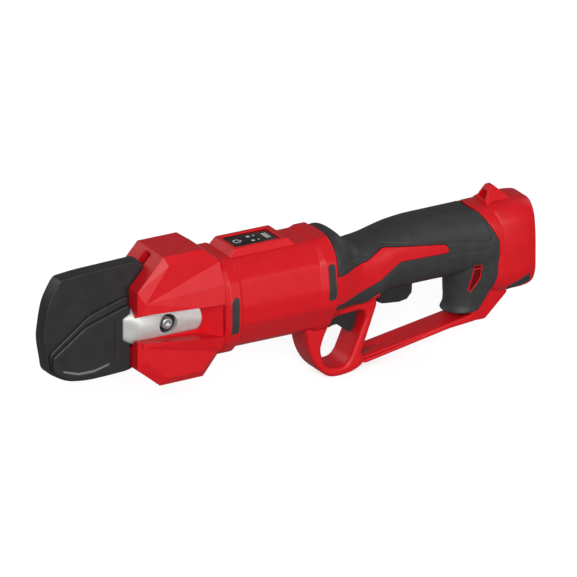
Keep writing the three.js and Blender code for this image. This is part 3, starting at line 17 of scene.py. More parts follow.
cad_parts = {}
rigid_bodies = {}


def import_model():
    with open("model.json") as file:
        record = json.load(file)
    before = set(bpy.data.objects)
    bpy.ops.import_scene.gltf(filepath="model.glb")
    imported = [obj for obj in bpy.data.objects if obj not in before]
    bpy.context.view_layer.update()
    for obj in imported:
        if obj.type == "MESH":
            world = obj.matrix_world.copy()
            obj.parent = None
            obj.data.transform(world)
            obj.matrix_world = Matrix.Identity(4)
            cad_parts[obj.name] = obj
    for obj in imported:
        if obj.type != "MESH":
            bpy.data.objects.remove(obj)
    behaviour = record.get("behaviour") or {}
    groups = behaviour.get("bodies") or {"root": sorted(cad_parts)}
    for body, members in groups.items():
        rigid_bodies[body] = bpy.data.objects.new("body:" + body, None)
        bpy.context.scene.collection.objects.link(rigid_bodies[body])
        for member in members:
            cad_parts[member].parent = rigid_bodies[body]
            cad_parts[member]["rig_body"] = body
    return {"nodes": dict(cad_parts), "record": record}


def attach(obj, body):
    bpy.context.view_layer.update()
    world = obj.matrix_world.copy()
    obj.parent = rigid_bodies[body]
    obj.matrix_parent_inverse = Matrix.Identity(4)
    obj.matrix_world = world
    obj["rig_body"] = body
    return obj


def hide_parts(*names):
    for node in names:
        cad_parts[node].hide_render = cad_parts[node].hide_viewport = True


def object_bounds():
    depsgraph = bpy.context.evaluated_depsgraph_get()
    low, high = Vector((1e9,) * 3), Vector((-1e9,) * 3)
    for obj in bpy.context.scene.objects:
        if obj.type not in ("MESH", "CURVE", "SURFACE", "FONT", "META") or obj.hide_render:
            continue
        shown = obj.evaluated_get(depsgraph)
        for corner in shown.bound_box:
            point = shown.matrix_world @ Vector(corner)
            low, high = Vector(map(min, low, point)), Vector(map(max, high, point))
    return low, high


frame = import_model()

cad_low, cad_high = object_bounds()
print("frame box, m:", [round(v, 4) for v in (*cad_low, *cad_high)])

# %% [markdown]
# ## From the drive axis to the model's own frame
# The model's origin is the middle of its base, while the sizes below are measured from the drive
# axis. The rear rim and the lowest face of the finger loop are the model's two extremes, so they
# tie the two systems together and nothing has to be fitted by eye.

# %% Places along the tool
REAR_RIM_X = 284.5
BASE_DEPTH = 62.0
FLANGE_X = 53.3
BARREL_X = 65.0
RING_X = 123.0
NECK_X = 135.0
HOUSING_X = 254.0
MM = 0.001
DRIVE_ORIGIN = np.array([cad_high.x / MM - REAR_RIM_X, 0.0, cad_low.z / MM + BASE_DEPTH])


def metres(points):
    """Drive millimetres to model metres: add the drive origin, then divide by a thousand."""
    return (np.asarray(points, float) + DRIVE_ORIGIN) * MM


print("drive origin in the model, mm:", DRIVE_ORIGIN.round(2))

# %% [markdown]
# ## Camera
# The tool is seen from far away through a long lens, so that the barrel and the grip keep their
# true proportions. The camera stands 30 degrees round from the left side, towards the blades, and
# 22 degrees up. A near camera would make the blades look larger than the grip.

# %% Camera
CAMERA_AZIMUTH = math.radians(-29.8)
CAMERA_ELEVATION = math.radians(21.8)
CAMERA_DISTANCE = 14.0
LENS_PER_METRE = 99.05
SENSOR_WIDTH = 36.0
AIM = Vector(metres([114.6, 0.0, 0.0]))
towards_camera = Vector(
    (
        math.sin(CAMERA_AZIMUTH) * math.cos(CAMERA_ELEVATION),
        -math.cos(CAMERA_AZIMUTH) * math.cos(CAMERA_ELEVATION),
        math.sin(CAMERA_ELEVATION),
    )
)
camera = bpy.data.objects.new("camera", bpy.data.cameras.new("camera"))
bpy.context.scene.collection.objects.link(camera)
camera.data.lens = LENS_PER_METRE * CAMERA_DISTANCE
camera.data.sensor_width = SENSOR_WIDTH
camera.location = AIM + towards_camera * CAMERA_DISTANCE
camera.rotation_mode = "QUATERNION"
camera.rotation_quaternion = (-towards_camera).to_track_quat("-Z", "Y")
camera.data.clip_end = 100.0
bpy.context.scene.camera = camera
print("camera at", tuple(round(v, 3) for v in camera.location))

# %% [markdown]
# ## Light
# Four soft boxes stand round the tool. The key stands low beside the camera, because moulded
# plastic shows its form by bright sides under a darker top. The fill, side and back boxes keep
# the turned faces from going black. Standard view keeps the reds as they are mixed.

# %% Lights and world
bpy.context.scene.view_settings.view_transform = "Standard"


def soft_box(name, azimuth, elevation, distance, size, power):
    """A square area light on a sphere round the tool, turned to face its middle."""
    lamp = bpy.data.objects.new(name, bpy.data.lights.new(name, "AREA"))
    bpy.context.scene.collection.objects.link(lamp)
    turn, rise = math.radians(azimuth), math.radians(elevation)
    back = Vector(
        (math.sin(turn) * math.cos(rise), -math.cos(turn) * math.cos(rise), math.sin(rise))
    )
    lamp.location = AIM + back * distance
    lamp.rotation_mode = "QUATERNION"
    lamp.rotation_quaternion = (-back).to_track_quat("-Z", "Y")
    lamp.data.size = size
    lamp.data.energy = power
    return lamp


WORLD_STRENGTH = 0.2
lamps = [
    soft_box("key_light", -28.0, 24.0, 3.0, 1.9, 70.0),
    soft_box("fill_light", 8.0, 7.0, 2.6, 0.7, 19.0),
    soft_box("side_light", 95.0, 30.0, 2.4, 1.5, 9.0),
    soft_box("back_light", 215.0, 30.0, 2.4, 1.5, 10.0),
]

world = bpy.data.worlds.new("studio")
bpy.context.scene.world = world
world.use_nodes = True
world.node_tree.nodes["Background"].inputs["Color"].default_value = (1.0, 1.0, 1.0, 1.0)
world.node_tree.nodes["Background"].inputs["Strength"].default_value = WORLD_STRENGTH
print("lights:", [lamp.name for lamp in lamps])

# %% [markdown]
# ## Materials
# Three effects are shared by many finishes, so each is a node group: moulding grain as a height,
# a slow mottle that varies roughness and colour a little, and fine ground lines. All of them read
# Object coordinates, which are metres here, so a scale of 1000 is a detail of a millimetre.

# %% Shared effects


def new_group(name, inputs, outputs):
    """An empty shader node group with the named float inputs and outputs, and its two end nodes."""
    group = bpy.data.node_groups.new(name, "ShaderNodeTree")
    for label, value in inputs:
        group.interface.new_socket(
            label, in_out="INPUT", socket_type="NodeSocketFloat"
        ).default_value = value
    for label, kind in outputs:
        group.interface.new_socket(label, in_out="OUTPUT", socket_type=kind)
    return group, group.nodes.new("NodeGroupInput"), group.nodes.new("NodeGroupOutput")


def grain_group():
    """Fine moulding grain: noise plus 0.45 times the distance in Voronoi cells, both at Scale."""
    group, start, end = new_group(
        "moulding_grain", [("Scale", 2500.0), ("Detail", 2.0)], [("Height", "NodeSocketFloat")]
    )
    place = group.nodes.new("ShaderNodeTexCoord")
    coarse = group.nodes.new("ShaderNodeTexNoise")
    cells = group.nodes.new("ShaderNodeTexVoronoi")
    mixed = group.nodes.new("ShaderNodeMath")
    mixed.operation = "MULTIPLY_ADD"
    mixed.inputs[1].default_value = 0.45
    for texture in (coarse, cells):
        group.links.new(place.outputs["Object"], texture.inputs["Vector"])
        group.links.new(start.outputs["Scale"], texture.inputs["Scale"])
    group.links.new(start.outputs["Detail"], coarse.inputs["Detail"])
    group.links.new(cells.outputs["Distance"], mixed.inputs[0])
    group.links.new(coarse.outputs["Fac"], mixed.inputs[2])
    group.links.new(mixed.outputs[0], end.inputs["Height"])
    return group


def mottle_group():
    """Slow variation: noise at Scale, stretched from Low to High, for roughness."""
    group, start, end = new_group(
        "slow_mottle", [("Scale", 60.0), ("Low", 0.4), ("High", 0.5)],
        [("Value", "NodeSocketFloat")]
    )
    place = group.nodes.new("ShaderNodeTexCoord")
    noise = group.nodes.new("ShaderNodeTexNoise")
    noise.inputs["Detail"].default_value = 4.0
    spread = group.nodes.new("ShaderNodeMapRange")
    spread.inputs["From Min"].default_value = 0.35
    spread.inputs["From Max"].default_value = 0.65
    group.links.new(place.outputs["Object"], noise.inputs["Vector"])
    group.links.new(start.outputs["Scale"], noise.inputs["Scale"])
    group.links.new(noise.outputs["Fac"], spread.inputs["Value"])
    group.links.new(start.outputs["Low"], spread.inputs["To Min"])
    group.links.new(start.outputs["High"], spread.inputs["To Max"])
    group.links.new(spread.outputs["Result"], end.inputs["Value"])
    return group


def brushed_group():
    """Ground lines along x: noise whose x coordinate is squeezed to a fortieth, as a height."""
    group, start, end = new_group(
        "ground_lines", [("Scale", 1400.0)], [("Height", "NodeSocketFloat")]
    )
    place = group.nodes.new("ShaderNodeTexCoord")
    squeeze = group.nodes.new("ShaderNodeMapping")
    squeeze.inputs["Scale"].default_value = (0.025, 1.0, 1.0)
    noise = group.nodes.new("ShaderNodeTexNoise")
    group.links.new(place.outputs["Object"], squeeze.inputs["Vector"])
    group.links.new(squeeze.outputs["Vector"], noise.inputs["Vector"])
    group.links.new(start.outputs["Scale"], noise.inputs["Scale"])
    group.links.new(noise.outputs["Fac"], end.inputs["Height"])
    return group


GRAIN, MOTTLE, BRUSHED = grain_group(), mottle_group(), brushed_group()
print("effects:", [group.name for group in (GRAIN, MOTTLE, BRUSHED)])

# %% A finish from its sizes


def linear(red, green, blue):
    """Display values 0 to 255 to linear light: ((c + 0.055) / 1.055) to the power 2.4 above the
    toe."""
    c = np.array([red, green, blue]) / 255.0
    return tuple(np.where(c <= 0.04045, c / 12.92, ((c + 0.055) / 1.055) ** 2.4)) + (1.0,)


def finish(
    name, color, rough=(0.4, 0.5), bump=0.0, grain=2500.0, metal=0.0, lines=False, vary=0.06,
    specular=0.5
):
    """A finish: base colour that varies a little, mottled roughness, and grain or ground lines
    as bump."""
    material = bpy.data.materials.new(name)
    material.use_nodes = True
    nodes, links = material.node_tree.nodes, material.node_tree.links
    shader = nodes["Principled BSDF"]
    shader.inputs["Metallic"].default_value = metal
    shader.inputs["Specular IOR Level"].default_value = specular
    mottle = nodes.new("ShaderNodeGroup")
    mottle.node_tree = MOTTLE
    mottle.inputs["Scale"].default_value = 90.0
    mottle.inputs["Low"].default_value, mottle.inputs["High"].default_value = rough
    links.new(mottle.outputs["Value"], shader.inputs["Roughness"])
    tone = nodes.new("ShaderNodeGroup")
    tone.node_tree = MOTTLE
    tone.inputs["Scale"].default_value = 160.0
    tone.inputs["Low"].default_value, tone.inputs["High"].default_value = 0.0, 1.0
    mix = nodes.new("ShaderNodeMix")
    mix.data_type = "RGBA"
    mix.inputs["A"].default_value = tuple(c * (1.0 - vary) for c in linear(*color)[:3]) + (1.0,)
    mix.inputs["B"].default_value = tuple(
        min(1.0, c * (1.0 + vary)) for c in linear(*color)[:3]
    ) + (1.0,)
    links.new(tone.outputs["Value"], mix.inputs["Factor"])
    links.new(mix.outputs["Result"], shader.inputs["Base Color"])
    if bump:
        relief = nodes.new("ShaderNodeGroup")
        relief.node_tree = BRUSHED if lines else GRAIN
        relief.inputs["Scale"].default_value = grain
        dent = nodes.new("ShaderNodeBump")
        dent.inputs["Distance"].default_value = 0.0001
        dent.inputs["Strength"].default_value = bump
        links.new(relief.outputs["Height"], dent.inputs["Height"])
        links.new(dent.outputs["Normal"], shader.inputs["Normal"])
    return material


MATERIALS = {
    "red_shell": finish(
        "red_shell", (205, 17, 28), rough=(0.36, 0.44), bump=0.12, grain=3200.0, vary=0.03,
        specular=0.3
    ),
    "soft_overmold": finish(
        "soft_overmold", (50, 50, 50), rough=(0.48, 0.58), bump=0.5, grain=1500.0, vary=0.1,
        specular=0.35
    ),
    "black_trim": finish(
        "black_trim", (52, 52, 52), rough=(0.45, 0.58), bump=0.25, grain=2600.0, vary=0.08,
        specular=0.3
    ),
    "black_plastic": finish(
        "black_plastic", (39, 38, 39), rough=(0.36, 0.46), bump=0.2, grain=3000.0, vary=0.08,
        specular=0.4
    ),
    "gloss_panel": finish("gloss_panel", (14, 13, 14), rough=(0.1, 0.16), vary=0.1),
    "cast_silver": finish(
        "cast_silver", (196, 196, 194), rough=(0.42, 0.52), bump=0.3, grain=2400.0, metal=0.35,
        vary=0.04
    ),
    "blade_steel": finish(
        "blade_steel", (186, 188, 191), rough=(0.24, 0.34), bump=0.35, metal=1.0, lines=True,
        vary=0.06
    ),
    "bright_steel": finish(
        "bright_steel", (205, 205, 206), rough=(0.26, 0.36), bump=0.1, metal=0.85, vary=0.06
    ),
    "gear_steel": finish(
        "gear_steel", (120, 121, 124), rough=(0.34, 0.44), bump=0.2, metal=1.0, vary=0.08
    ),
    "dark_steel": finish(
        "dark_steel", (70, 71, 73), rough=(0.4, 0.5), bump=0.15, metal=1.0, vary=0.08
    ),
    "copper": finish("copper", (190, 112, 66), rough=(0.28, 0.4), bump=0.1, metal=1.0, vary=0.08),
    "board_green": finish("board_green", (20, 84, 48), rough=(0.3, 0.4), bump=0.1, vary=0.1),
    "icon_print": finish("icon_print", (215, 214, 214), rough=(0.4, 0.5), vary=0.02),
    # Dark red painted shade: the inside of the air slots, where the red shell lies in shadow.
    "slot_shade_red": finish("slot_shade_red", (96, 3, 14), rough=(0.5, 0.6), vary=0.02, specular=0.2),
    # Light grey painted highlight on black plastic: the lit lower edge of the sheath's label.
    "painted_highlight_grey": finish("painted_highlight_grey", (112, 110, 108), rough=(0.4, 0.5), vary=0.04),
    "groove_shadow": finish(
        "groove_shadow", (26, 20, 21), rough=(0.6, 0.7), vary=0.02, specular=0.1
    ),
}
SLOT_OF_NODE = {row["node"]: row["material_slot"] for row in frame["record"]["subparts"]}
for node_name, node in frame["nodes"].items():
    node.data.materials.clear()
    node.data.materials.append(MATERIALS[SLOT_OF_NODE[node_name]])
print(len(MATERIALS), "finishes on", len(frame["nodes"]), "nodes")

# %% [markdown]
# ## Floor
# A plain pale floor, just under the finger loop. It glows a little, so that it stays pale to its
# far edge. It is hidden from the rays that light the tool and from its reflections, because a
# bright floor would light the underside more than the sides.

# %% Floor
FLOOR_HALF = 6.0
FLOOR_GAP = 0.0002
FLOOR_GLOW = 0.72
floor_mesh = bpy.data.meshes.new("floor")
floor_corners = [(-1, -1), (1, -1), (1, 1), (-1, 1)]
floor_mesh.from_pydata(
    [(x * FLOOR_HALF, y * FLOOR_HALF, cad_low.z - FLOOR_GAP) for x, y in floor_corners],
    [],
    [(0, 1, 2, 3)],
)
floor = bpy.data.objects.new("floor", floor_mesh)
bpy.context.scene.collection.objects.link(floor)
sweep = finish("pale_sweep", (200, 200, 202), rough=(0.7, 0.8), vary=0.005)
sweep_shader = sweep.node_tree.nodes["Principled BSDF"]
sweep_shader.inputs["Emission Color"].default_value = (1.0, 1.0, 1.0, 1.0)
sweep_shader.inputs["Emission Strength"].default_value = FLOOR_GLOW
floor_mesh.materials.append(sweep)
floor.visible_diffuse = False
floor.visible_glossy = False
print("floor at", round(cad_low.z - FLOOR_GAP, 4), "m")

# %% [markdown]
# ## Helpers for meshes
# A piece here is arrays of points and faces. These helpers put arrays into a mesh, round or move
# an outline, join rings of points into a skin, and soften the edges of what was made.

# %% Arrays to a piece


def put(name, mesh, slot, body, replaced=()):
    """Links a mesh as a piece: its finish, the body it rides on and the nodes that it stands
    for."""
    piece = bpy.data.objects.new(name, mesh)
    bpy.context.scene.collection.objects.link(piece)
    mesh.materials.clear()
    mesh.materials.append(MATERIALS[slot])
    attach(piece, body)
    if replaced:
        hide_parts(*replaced)
    return piece


def mesh_of(name, points, faces, smooth=True):
    """A mesh from drive millimetres and lists of corner numbers."""
    mesh = bpy.data.meshes.new(name)
    mesh.from_pydata(metres(points).tolist(), [], [list(face) for face in faces])
    mesh.validate()
    if smooth:
        mesh.shade_smooth()
    return mesh


def soften(piece, width, segments=3, angle=28.0):
    """A Bevel on every edge sharper than the angle, with normals kept flat on the faces between."""
    bevel = piece.modifiers.new("soften", "BEVEL")
    bevel.width = width * MM
    bevel.segments = segments
    bevel.limit_method = "ANGLE"
    bevel.angle_limit = math.radians(angle)
    bevel.harden_normals = True
    bevel.use_clamp_overlap = True
    return piece


def rounded(corners, radius, steps=6):
    """Each corner of a closed outline becomes a parabola arc between points a radius away on
    its sides."""
    corners = np.asarray(corners, float)
    before = np.roll(corners, 1, axis=0) - corners
    after = np.roll(corners, -1, axis=0) - corners
    before_length = np.linalg.norm(before, axis=1, keepdims=True)
    after_length = np.linalg.norm(after, axis=1, keepdims=True)
    reach = np.minimum(radius, 0.48 * np.minimum(before_length, after_length))
    start = corners + before / before_length * reach
    end = corners + after / after_length * reach
    t = np.linspace(0.0, 1.0, steps)[None, :, None]
    arc = (1 - t) ** 2 * start[:, None] + 2 * t * (1 - t) * corners[:, None] + t**2 * end[:, None]
    return arc.reshape(-1, corners.shape[1])


def mirrored(half):
    """A whole section from its corners on the +y side, listed from the top middle to the bottom
    middle."""
    half = np.asarray(half, float)
    return np.vstack([half, half[-2:0:-1] * [-1.0, 1.0]])


def outward(points, distance):
    """Moves a closed outline's points along the mean normal of their two sides, away from its
    middle."""
    points = np.asarray(points, float)
    along = np.roll(points, -1, axis=0) - points
    along /= np.linalg.norm(along, axis=1, keepdims=True)
    normal = np.stack([along[:, 1], -along[:, 0]], axis=1)
    mean = normal + np.roll(normal, 1, axis=0)
    mean /= np.linalg.norm(mean, axis=1, keepdims=True)
    area = np.sum(
        points[:, 0] * np.roll(points[:, 1], -1) - np.roll(points[:, 0], -1) * points[:, 1]
    )
    stretch = np.maximum(np.sum(mean * normal, axis=1, keepdims=True), 0.5)
    return points + np.sign(area) * mean / stretch * distance


def ring_faces(rings, sides):
    """Quads between neighbouring closed rings, as corner numbers: ring times sides plus place."""
    ring, place = np.meshgrid(np.arange(rings - 1), np.arange(sides), indexing="ij")
    after = (place + 1) % sides
    return np.stack(
        [
            ring * sides + place,
            ring * sides + after,
            (ring + 1) * sides + after,
            (ring + 1) * sides + place,
        ],
        -1
    ).reshape(-1, 4)


def loft(name, stations):
    """A closed skin over sections: each station is an x and its [y, z] outline of equal length."""
    rings = [np.column_stack([np.full(len(outline), x), outline]) for x, outline in stations]
    sides = len(rings[0])
    faces = ring_faces(len(rings), sides)[:, ::-1].tolist()
    faces.append(list(range(sides)))
    faces.append(list(range(len(rings) * sides - 1, (len(rings) - 1) * sides - 1, -1)))
    mesh = mesh_of(name, np.vstack(rings), faces)
    return face_out(mesh)


def face_out(mesh):
    """Turns every face of a closed mesh outwards."""
    work = bmesh.new()
    work.from_mesh(mesh)
    bmesh.ops.recalc_face_normals(work, faces=work.faces)
    work.to_mesh(mesh)
    work.free()
    return mesh


print("helpers ready")

# %% [markdown]
# ## Faceted mouldings from the frame
# The blades, the trigger, the panel and the small parts are flat facets with crisp edges, and the
# frame already holds them exactly. A copy is enough: its loose triangles are merged, the flat
# ones are joined into whole facets, and a Bevel gives each edge the small radius that catches the
# light.

# %% Copies with soft edges
COPY_MERGE = 0.000004
COPY_FLAT = 0.8
COPY_CREASE = 24.0


def copy_of(node, width):
    """A merged copy of a CAD node whose flat triangles are dissolved into facets, with softened
    edges."""
    work = bmesh.new()
    work.from_mesh(frame["nodes"][node].data)
    bmesh.ops.remove_doubles(work, verts=work.verts, dist=COPY_MERGE)
    bmesh.ops.dissolve_degenerate(work, edges=work.edges, dist=COPY_MERGE)
    bmesh.ops.dissolve_limit(
        work, angle_limit=math.radians(COPY_FLAT), verts=work.verts, edges=work.edges
    )
    mesh = bpy.data.meshes.new(node + "_finished")
    work.to_mesh(mesh)
    work.free()
    mesh.shade_smooth()
    piece = put(mesh.name, mesh, SLOT_OF_NODE[node], frame["nodes"][node]["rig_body"], (node,))
    return soften(piece, width, angle=COPY_CREASE)


for node_name, edge_width in (
    ("counter_blade", 0.25),
    ("moving_blade", 0.25),
    ("trigger", 0.9),
    ("control_panel", 0.25),
    ("power_button", 0.25),
    ("pivot_bolt", 0.2),
    ("pivot_nut", 0.2),
    ("terminal_block", 0.4),
    ("positive_contact", 0.15),
    ("negative_contact", 0.15),
    ("gear_head", 0.5),
):
    made = copy_of(node_name, edge_width)
    print(made.name, len(made.data.polygons), "facets")

# %% [markdown]
# ## Front flange, barrel and rear ring
# The barrel is a many-sided moulding with soft corners. Each section is an outline of corners
# from the top middle to the bottom middle; `rounded` turns the corners into short arcs, and
# `loft` joins the sections. The ends that meet other pieces run on inside them.

# %% Flange and barrel
BARREL_HALF = [
    (0, 35.4), (13.9, 35.4), (18.5, 31.8), (25.2, 23.9), (27.7, 6), (26.5, -6.2), (16, -23),
    (8, -28), (0, -28)
]
FLANGE_HALF = [
    (0, 36.4), (15.5, 36.4), (21.5, 32.2), (27.5, 24), (30.2, 10), (30.2, -6), (25.5, -17),
    (17.5, -26), (9, -30), (0, -30),
]
SHELLS = ("left_shell", "right_shell")


def section(half, grow=0.0, radius=2.4):
    """A mirrored outline moved out by grow, with its corners rounded."""
    return rounded(outward(mirrored(half), grow), radius)


flange = put(
    "front_flange",
    loft(
        "front_flange",
        [
            (FLANGE_X, section(FLANGE_HALF, -2.2)),
            (FLANGE_X + 3.0, section(FLANGE_HALF)),
            (BARREL_X - 1.2, section(FLANGE_HALF)),
            (BARREL_X, section(FLANGE_HALF, -1.2)),
        ],
    ),
    "red_shell",
    "body",
    SHELLS,
)
soften(flange, 0.6, angle=20.0)
barrel = put(
    "barrel",
    loft(
        "barrel",
        [
            (FLANGE_X + 4.0, section(BARREL_HALF)),
            (RING_X, section(BARREL_HALF)),
            (RING_X + 4.0, section(BARREL_HALF, 1.3)),
            (NECK_X - 0.8, section(BARREL_HALF, 1.3)),
            (NECK_X, section(BARREL_HALF, 0.5)),
        ],
    ),
    "red_shell",
    "body",
    SHELLS,
)
soften(barrel, 0.5, angle=12.0)
print("barrel", len(barrel.data.polygons), "faces")

# %% [markdown]
# ## The grip's skin
# The neck and grip are one smooth form: an oval whose top, bottom and width change along the
# tool. Its section follows |u|^2.7 + |v|^2.7 = 1, between an ellipse and a box, and the sizes
# between stations follow a smooth curve, so no facet shows.

# %% The grip surface
OVAL_POWER = 2.7
NECK_STATIONS = np.array(
    [
        [-1, 35.6, -24, 25.6], [2, 36.6, -22, 25.8], [6, 36.9, -20.5, 25.2], [11, 33.8, -19, 23.4],
        [16, 28, -18.4, 21.4], [21, 24.9, -18.2, 20.2], [28, 25.2, -18, 19.6],
        [37.7, 26.7, -16, 19.2],
        [44, 28.2, -12, 18.9], [52, 30.2, -11.6, 18.6], [63, 31.7, -11.5, 18.5],
        [85, 32.3, -11.5, 18.5],
        [104, 32.4, -12, 19], [119, 32.6, -16, 20.2], [127, 32.7, -18, 20.4],
    ]
)


def smooth_curve(at, stations, values):
    """Cubic between stations whose slope at each is that of the line through its two neighbours."""
    slope = np.gradient(values, stations)
    place = np.clip(np.searchsorted(stations, at) - 1, 0, len(stations) - 2)
    width = stations[place + 1] - stations[place]
    t = (at - stations[place]) / width
    return (
        (2 * t**3 - 3 * t**2 + 1) * values[place]
        + (t**3 - 2 * t**2 + t) * width * slope[place]
        + (3 * t**2 - 2 * t**3) * values[place + 1]
        + (t**3 - t**2) * width * slope[place + 1]
    )


def grip_surface(inset=0.0, along_steps=205, around_steps=210):
    """Points and normals on the grip: x along the stations, angle round the oval section."""
    x = np.linspace(NECK_STATIONS[0, 0], NECK_STATIONS[-1, 0], along_steps)
    top, bottom, half_width = (
        smooth_curve(x, NECK_STATIONS[:, 0], NECK_STATIONS[:, k]) for k in (1, 2, 3)
    )
    angle = np.linspace(0.0, 2 * math.pi, around_steps, endpoint=False)
    power = 2 / OVAL_POWER
    across = np.sign(np.sin(angle)) * np.abs(np.sin(angle)) ** power
    up = np.sign(np.cos(angle)) * np.abs(np.cos(angle)) ** power
    middle, half_height = (top + bottom) / 2, (top - bottom) / 2
    points = np.stack(
        [
            np.repeat((NECK_X + x)[:, None], around_steps, 1),
            half_width[:, None] * across[None, :],
            middle[:, None] + half_height[:, None] * up[None, :],
        ],
        -1,
    )
    normals = grid_normals(points)
    return points - normals * inset, normals


def grid_normals(points):
    """Unit normals of a grid that closes round its second index: along cross around, made to
    face out."""
    along = np.gradient(points, axis=0)
    around = np.roll(points, -1, axis=1) - np.roll(points, 1, axis=1)
    normals = np.cross(around, along)
    normals /= np.linalg.norm(normals, axis=-1, keepdims=True) + 1e-12
    middle = points.mean(axis=1, keepdims=True)
    return normals * np.sign(np.sum(normals * (points - middle)))


grip_points, grip_normals = grip_surface()
print("grip grid", grip_points.shape, "x from", grip_points[0, 0, 0], "to", grip_points[-1, 0, 0])

# %% [markdown]
# ## Cutting a skin along a drawn line
# The soft overmold, the red flash and the small inserts are all patches of one surface with a
# rounded lip. Each point gets its signed distance from the patch's outline, negative inside. The
# triangles are then cut exactly where that distance is zero, so the edge is a smooth line and not
# a staircase, and rings of points roll the edge over into a lip. An inner copy closes the patch
# into a thin solid.

# %% Signed distance and the cut skin


def distance_to(outline, x, z):
    """Signed distance in the side view: the nearest point on any side, negative when inside."""
    outline = np.asarray(outline, float)
    px, pz = x.ravel(), z.ravel()
    best = np.full(px.shape, np.inf)
    winding = np.zeros(px.shape, bool)
    for (ax, az), (bx, bz) in zip(outline, np.roll(outline, -1, axis=0)):
        dx, dz = bx - ax, bz - az
        t = np.clip(((px - ax) * dx + (pz - az) * dz) / (dx * dx + dz * dz + 1e-12), 0, 1)
        best = np.minimum(best, np.hypot(px - ax - t * dx, pz - az - t * dz))
        crosses = (az > pz) != (bz > pz)
        winding ^= crosses & (px < ax + (pz - az) * dx / (dz if dz else 1e-12))
    return np.where(winding, -best, best).reshape(x.shape)


def skin(name, points, normals, field, slot, body, replaced=(), lip=0.5, depth=1.6, lip_steps=4):
    """A patch of a closed-round grid: kept where field < 0, with a rolled lip and an inner wall.

    The lip is a quarter circle: it moves outward by lip times sin a and inward by lip times 1 -
    cos a.
    """
    rings, sides = points.shape[:2]
    quads = ring_faces(rings, sides)
    corners = np.vstack([quads[:, [0, 1, 2]], quads[:, [0, 2, 3]]])
    place, normal, level = points.reshape(-1, 3), normals.reshape(-1, 3), field.ravel() + lip
    a, b, c = place[corners[0, 0]], place[corners[0, 1]], place[corners[0, 2]]
    if np.dot(np.cross(b - a, c - a), normal[corners[0, 0]]) < 0:
        corners = corners[:, ::-1]
    inside = level < 0
    count = inside[corners].sum(1)
    whole = corners[count == 3]

    def lead(chosen, wanted):
        """Turns each triangle's corners until its one odd corner comes first."""
        odd = np.argmax(inside[chosen] == wanted, axis=1)
        return np.take_along_axis(chosen, (odd[:, None] + np.arange(3)) % 3, axis=1)

    one, two = lead(corners[count == 1], True), lead(corners[count == 2], False)
    size = len(place)
    edges = np.vstack([one[:, [0, 1]], one[:, [0, 2]], two[:, [0, 1]], two[:, [0, 2]]])
    keys, number = np.unique(edges.min(1) * size + edges.max(1), return_inverse=True)
    low, high = keys // size, keys % size
    share = (level[low] / (level[low] - level[high]))[:, None]
    cut_place = place[low] * (1 - share) + place[high] * share
    cut_normal = normal[low] * (1 - share) + normal[high] * share
    cut_normal /= np.linalg.norm(cut_normal, axis=1, keepdims=True)
    number = number.ravel() + size
    n_one, n_two = len(one), len(two)
    one_b, one_c = number[:n_one], number[n_one : 2 * n_one]
    two_b, two_c = number[2 * n_one : 2 * n_one + n_two], number[2 * n_one + n_two :]
    kept = np.vstack(
        [
            whole,
            np.column_stack([one[:, 0], one_b, one_c]),
            np.column_stack([two_b, two[:, 1], two[:, 2]]),
            np.column_stack([two_b, two[:, 2], two_c]),
        ]
    )
    border = np.vstack([np.column_stack([one_b, one_c]), np.column_stack([two_c, two_b])])
    place, normal = np.vstack([place, cut_place]), np.vstack([normal, cut_normal])
    used, kept_number = np.unique(kept, return_inverse=True)
    kept = kept_number.reshape(-1, 3)
    border = np.searchsorted(used, border)
    place, normal = place[used], normal[used]
    run = place[border[:, 1]] - place[border[:, 0]]
    away = np.zeros_like(place)
    side = np.cross(run, normal[border[:, 0]])
    np.add.at(away, border[:, 0], side)
    np.add.at(away, border[:, 1], side)
    edge = np.unique(border)
    away_edge = away[edge] / (np.linalg.norm(away[edge], axis=1, keepdims=True) + 1e-12)
    rows, faces = [place], [kept]
    position = np.full(len(place), -1)
    position[edge] = np.arange(len(edge))
    ends = position[border]
    previous = edge
    total = len(place)
    for step in range(1, lip_steps + 1):
        turn = step / lip_steps * math.pi / 2
        rows.append(
            place[edge] + away_edge * lip * math.sin(turn) - normal[edge] * lip * (
                1 - math.cos(turn)
            )
        )
        current = total + np.arange(len(edge))
        faces.append(
            np.column_stack([previous[ends[:, 1]], previous[ends[:, 0]], current[ends[:, 0]]])
        )
        faces.append(
            np.column_stack([previous[ends[:, 1]], current[ends[:, 0]], current[ends[:, 1]]])
        )
        previous, total = current, total + len(edge)
    rows.append(place[edge] + away_edge * lip - normal[edge] * depth)
    current = total + np.arange(len(edge))
    faces.append(np.column_stack([previous[ends[:, 1]], previous[ends[:, 0]], current[ends[:, 0]]]))
    faces.append(np.column_stack([previous[ends[:, 1]], current[ends[:, 0]], current[ends[:, 1]]]))
    previous, total = current, total + len(edge)
    rows.append(place - normal * depth)
    inner = total + np.arange(len(place))
    faces.append(inner[kept][:, ::-1])
    faces.append(
        np.column_stack([previous[ends[:, 1]], previous[ends[:, 0]], inner[edge][ends[:, 0]]])
    )
    faces.append(
        np.column_stack([previous[ends[:, 1]], inner[edge][ends[:, 0]], inner[edge][ends[:, 1]]])
    )
    mesh = mesh_of(name, np.vstack(rows), np.vstack(faces).tolist())
    return put(name, mesh, slot, body, replaced)


print("skin cutter ready")

# %% [markdown]
# ## Overmold, red flash and grip core
# The black overmold wraps the grip, and the body colour shows through it in a long flash on each
# side. Both are cut from the same surface, so they meet along one thin groove. Under them a dark
# core closes the groove. The trigger's two slots and the air slots are left out. Fine sunk lines
# border the top pad and the side panel, as a mould-maker would cut them: a smooth dip with the
# distance to a drawn line.

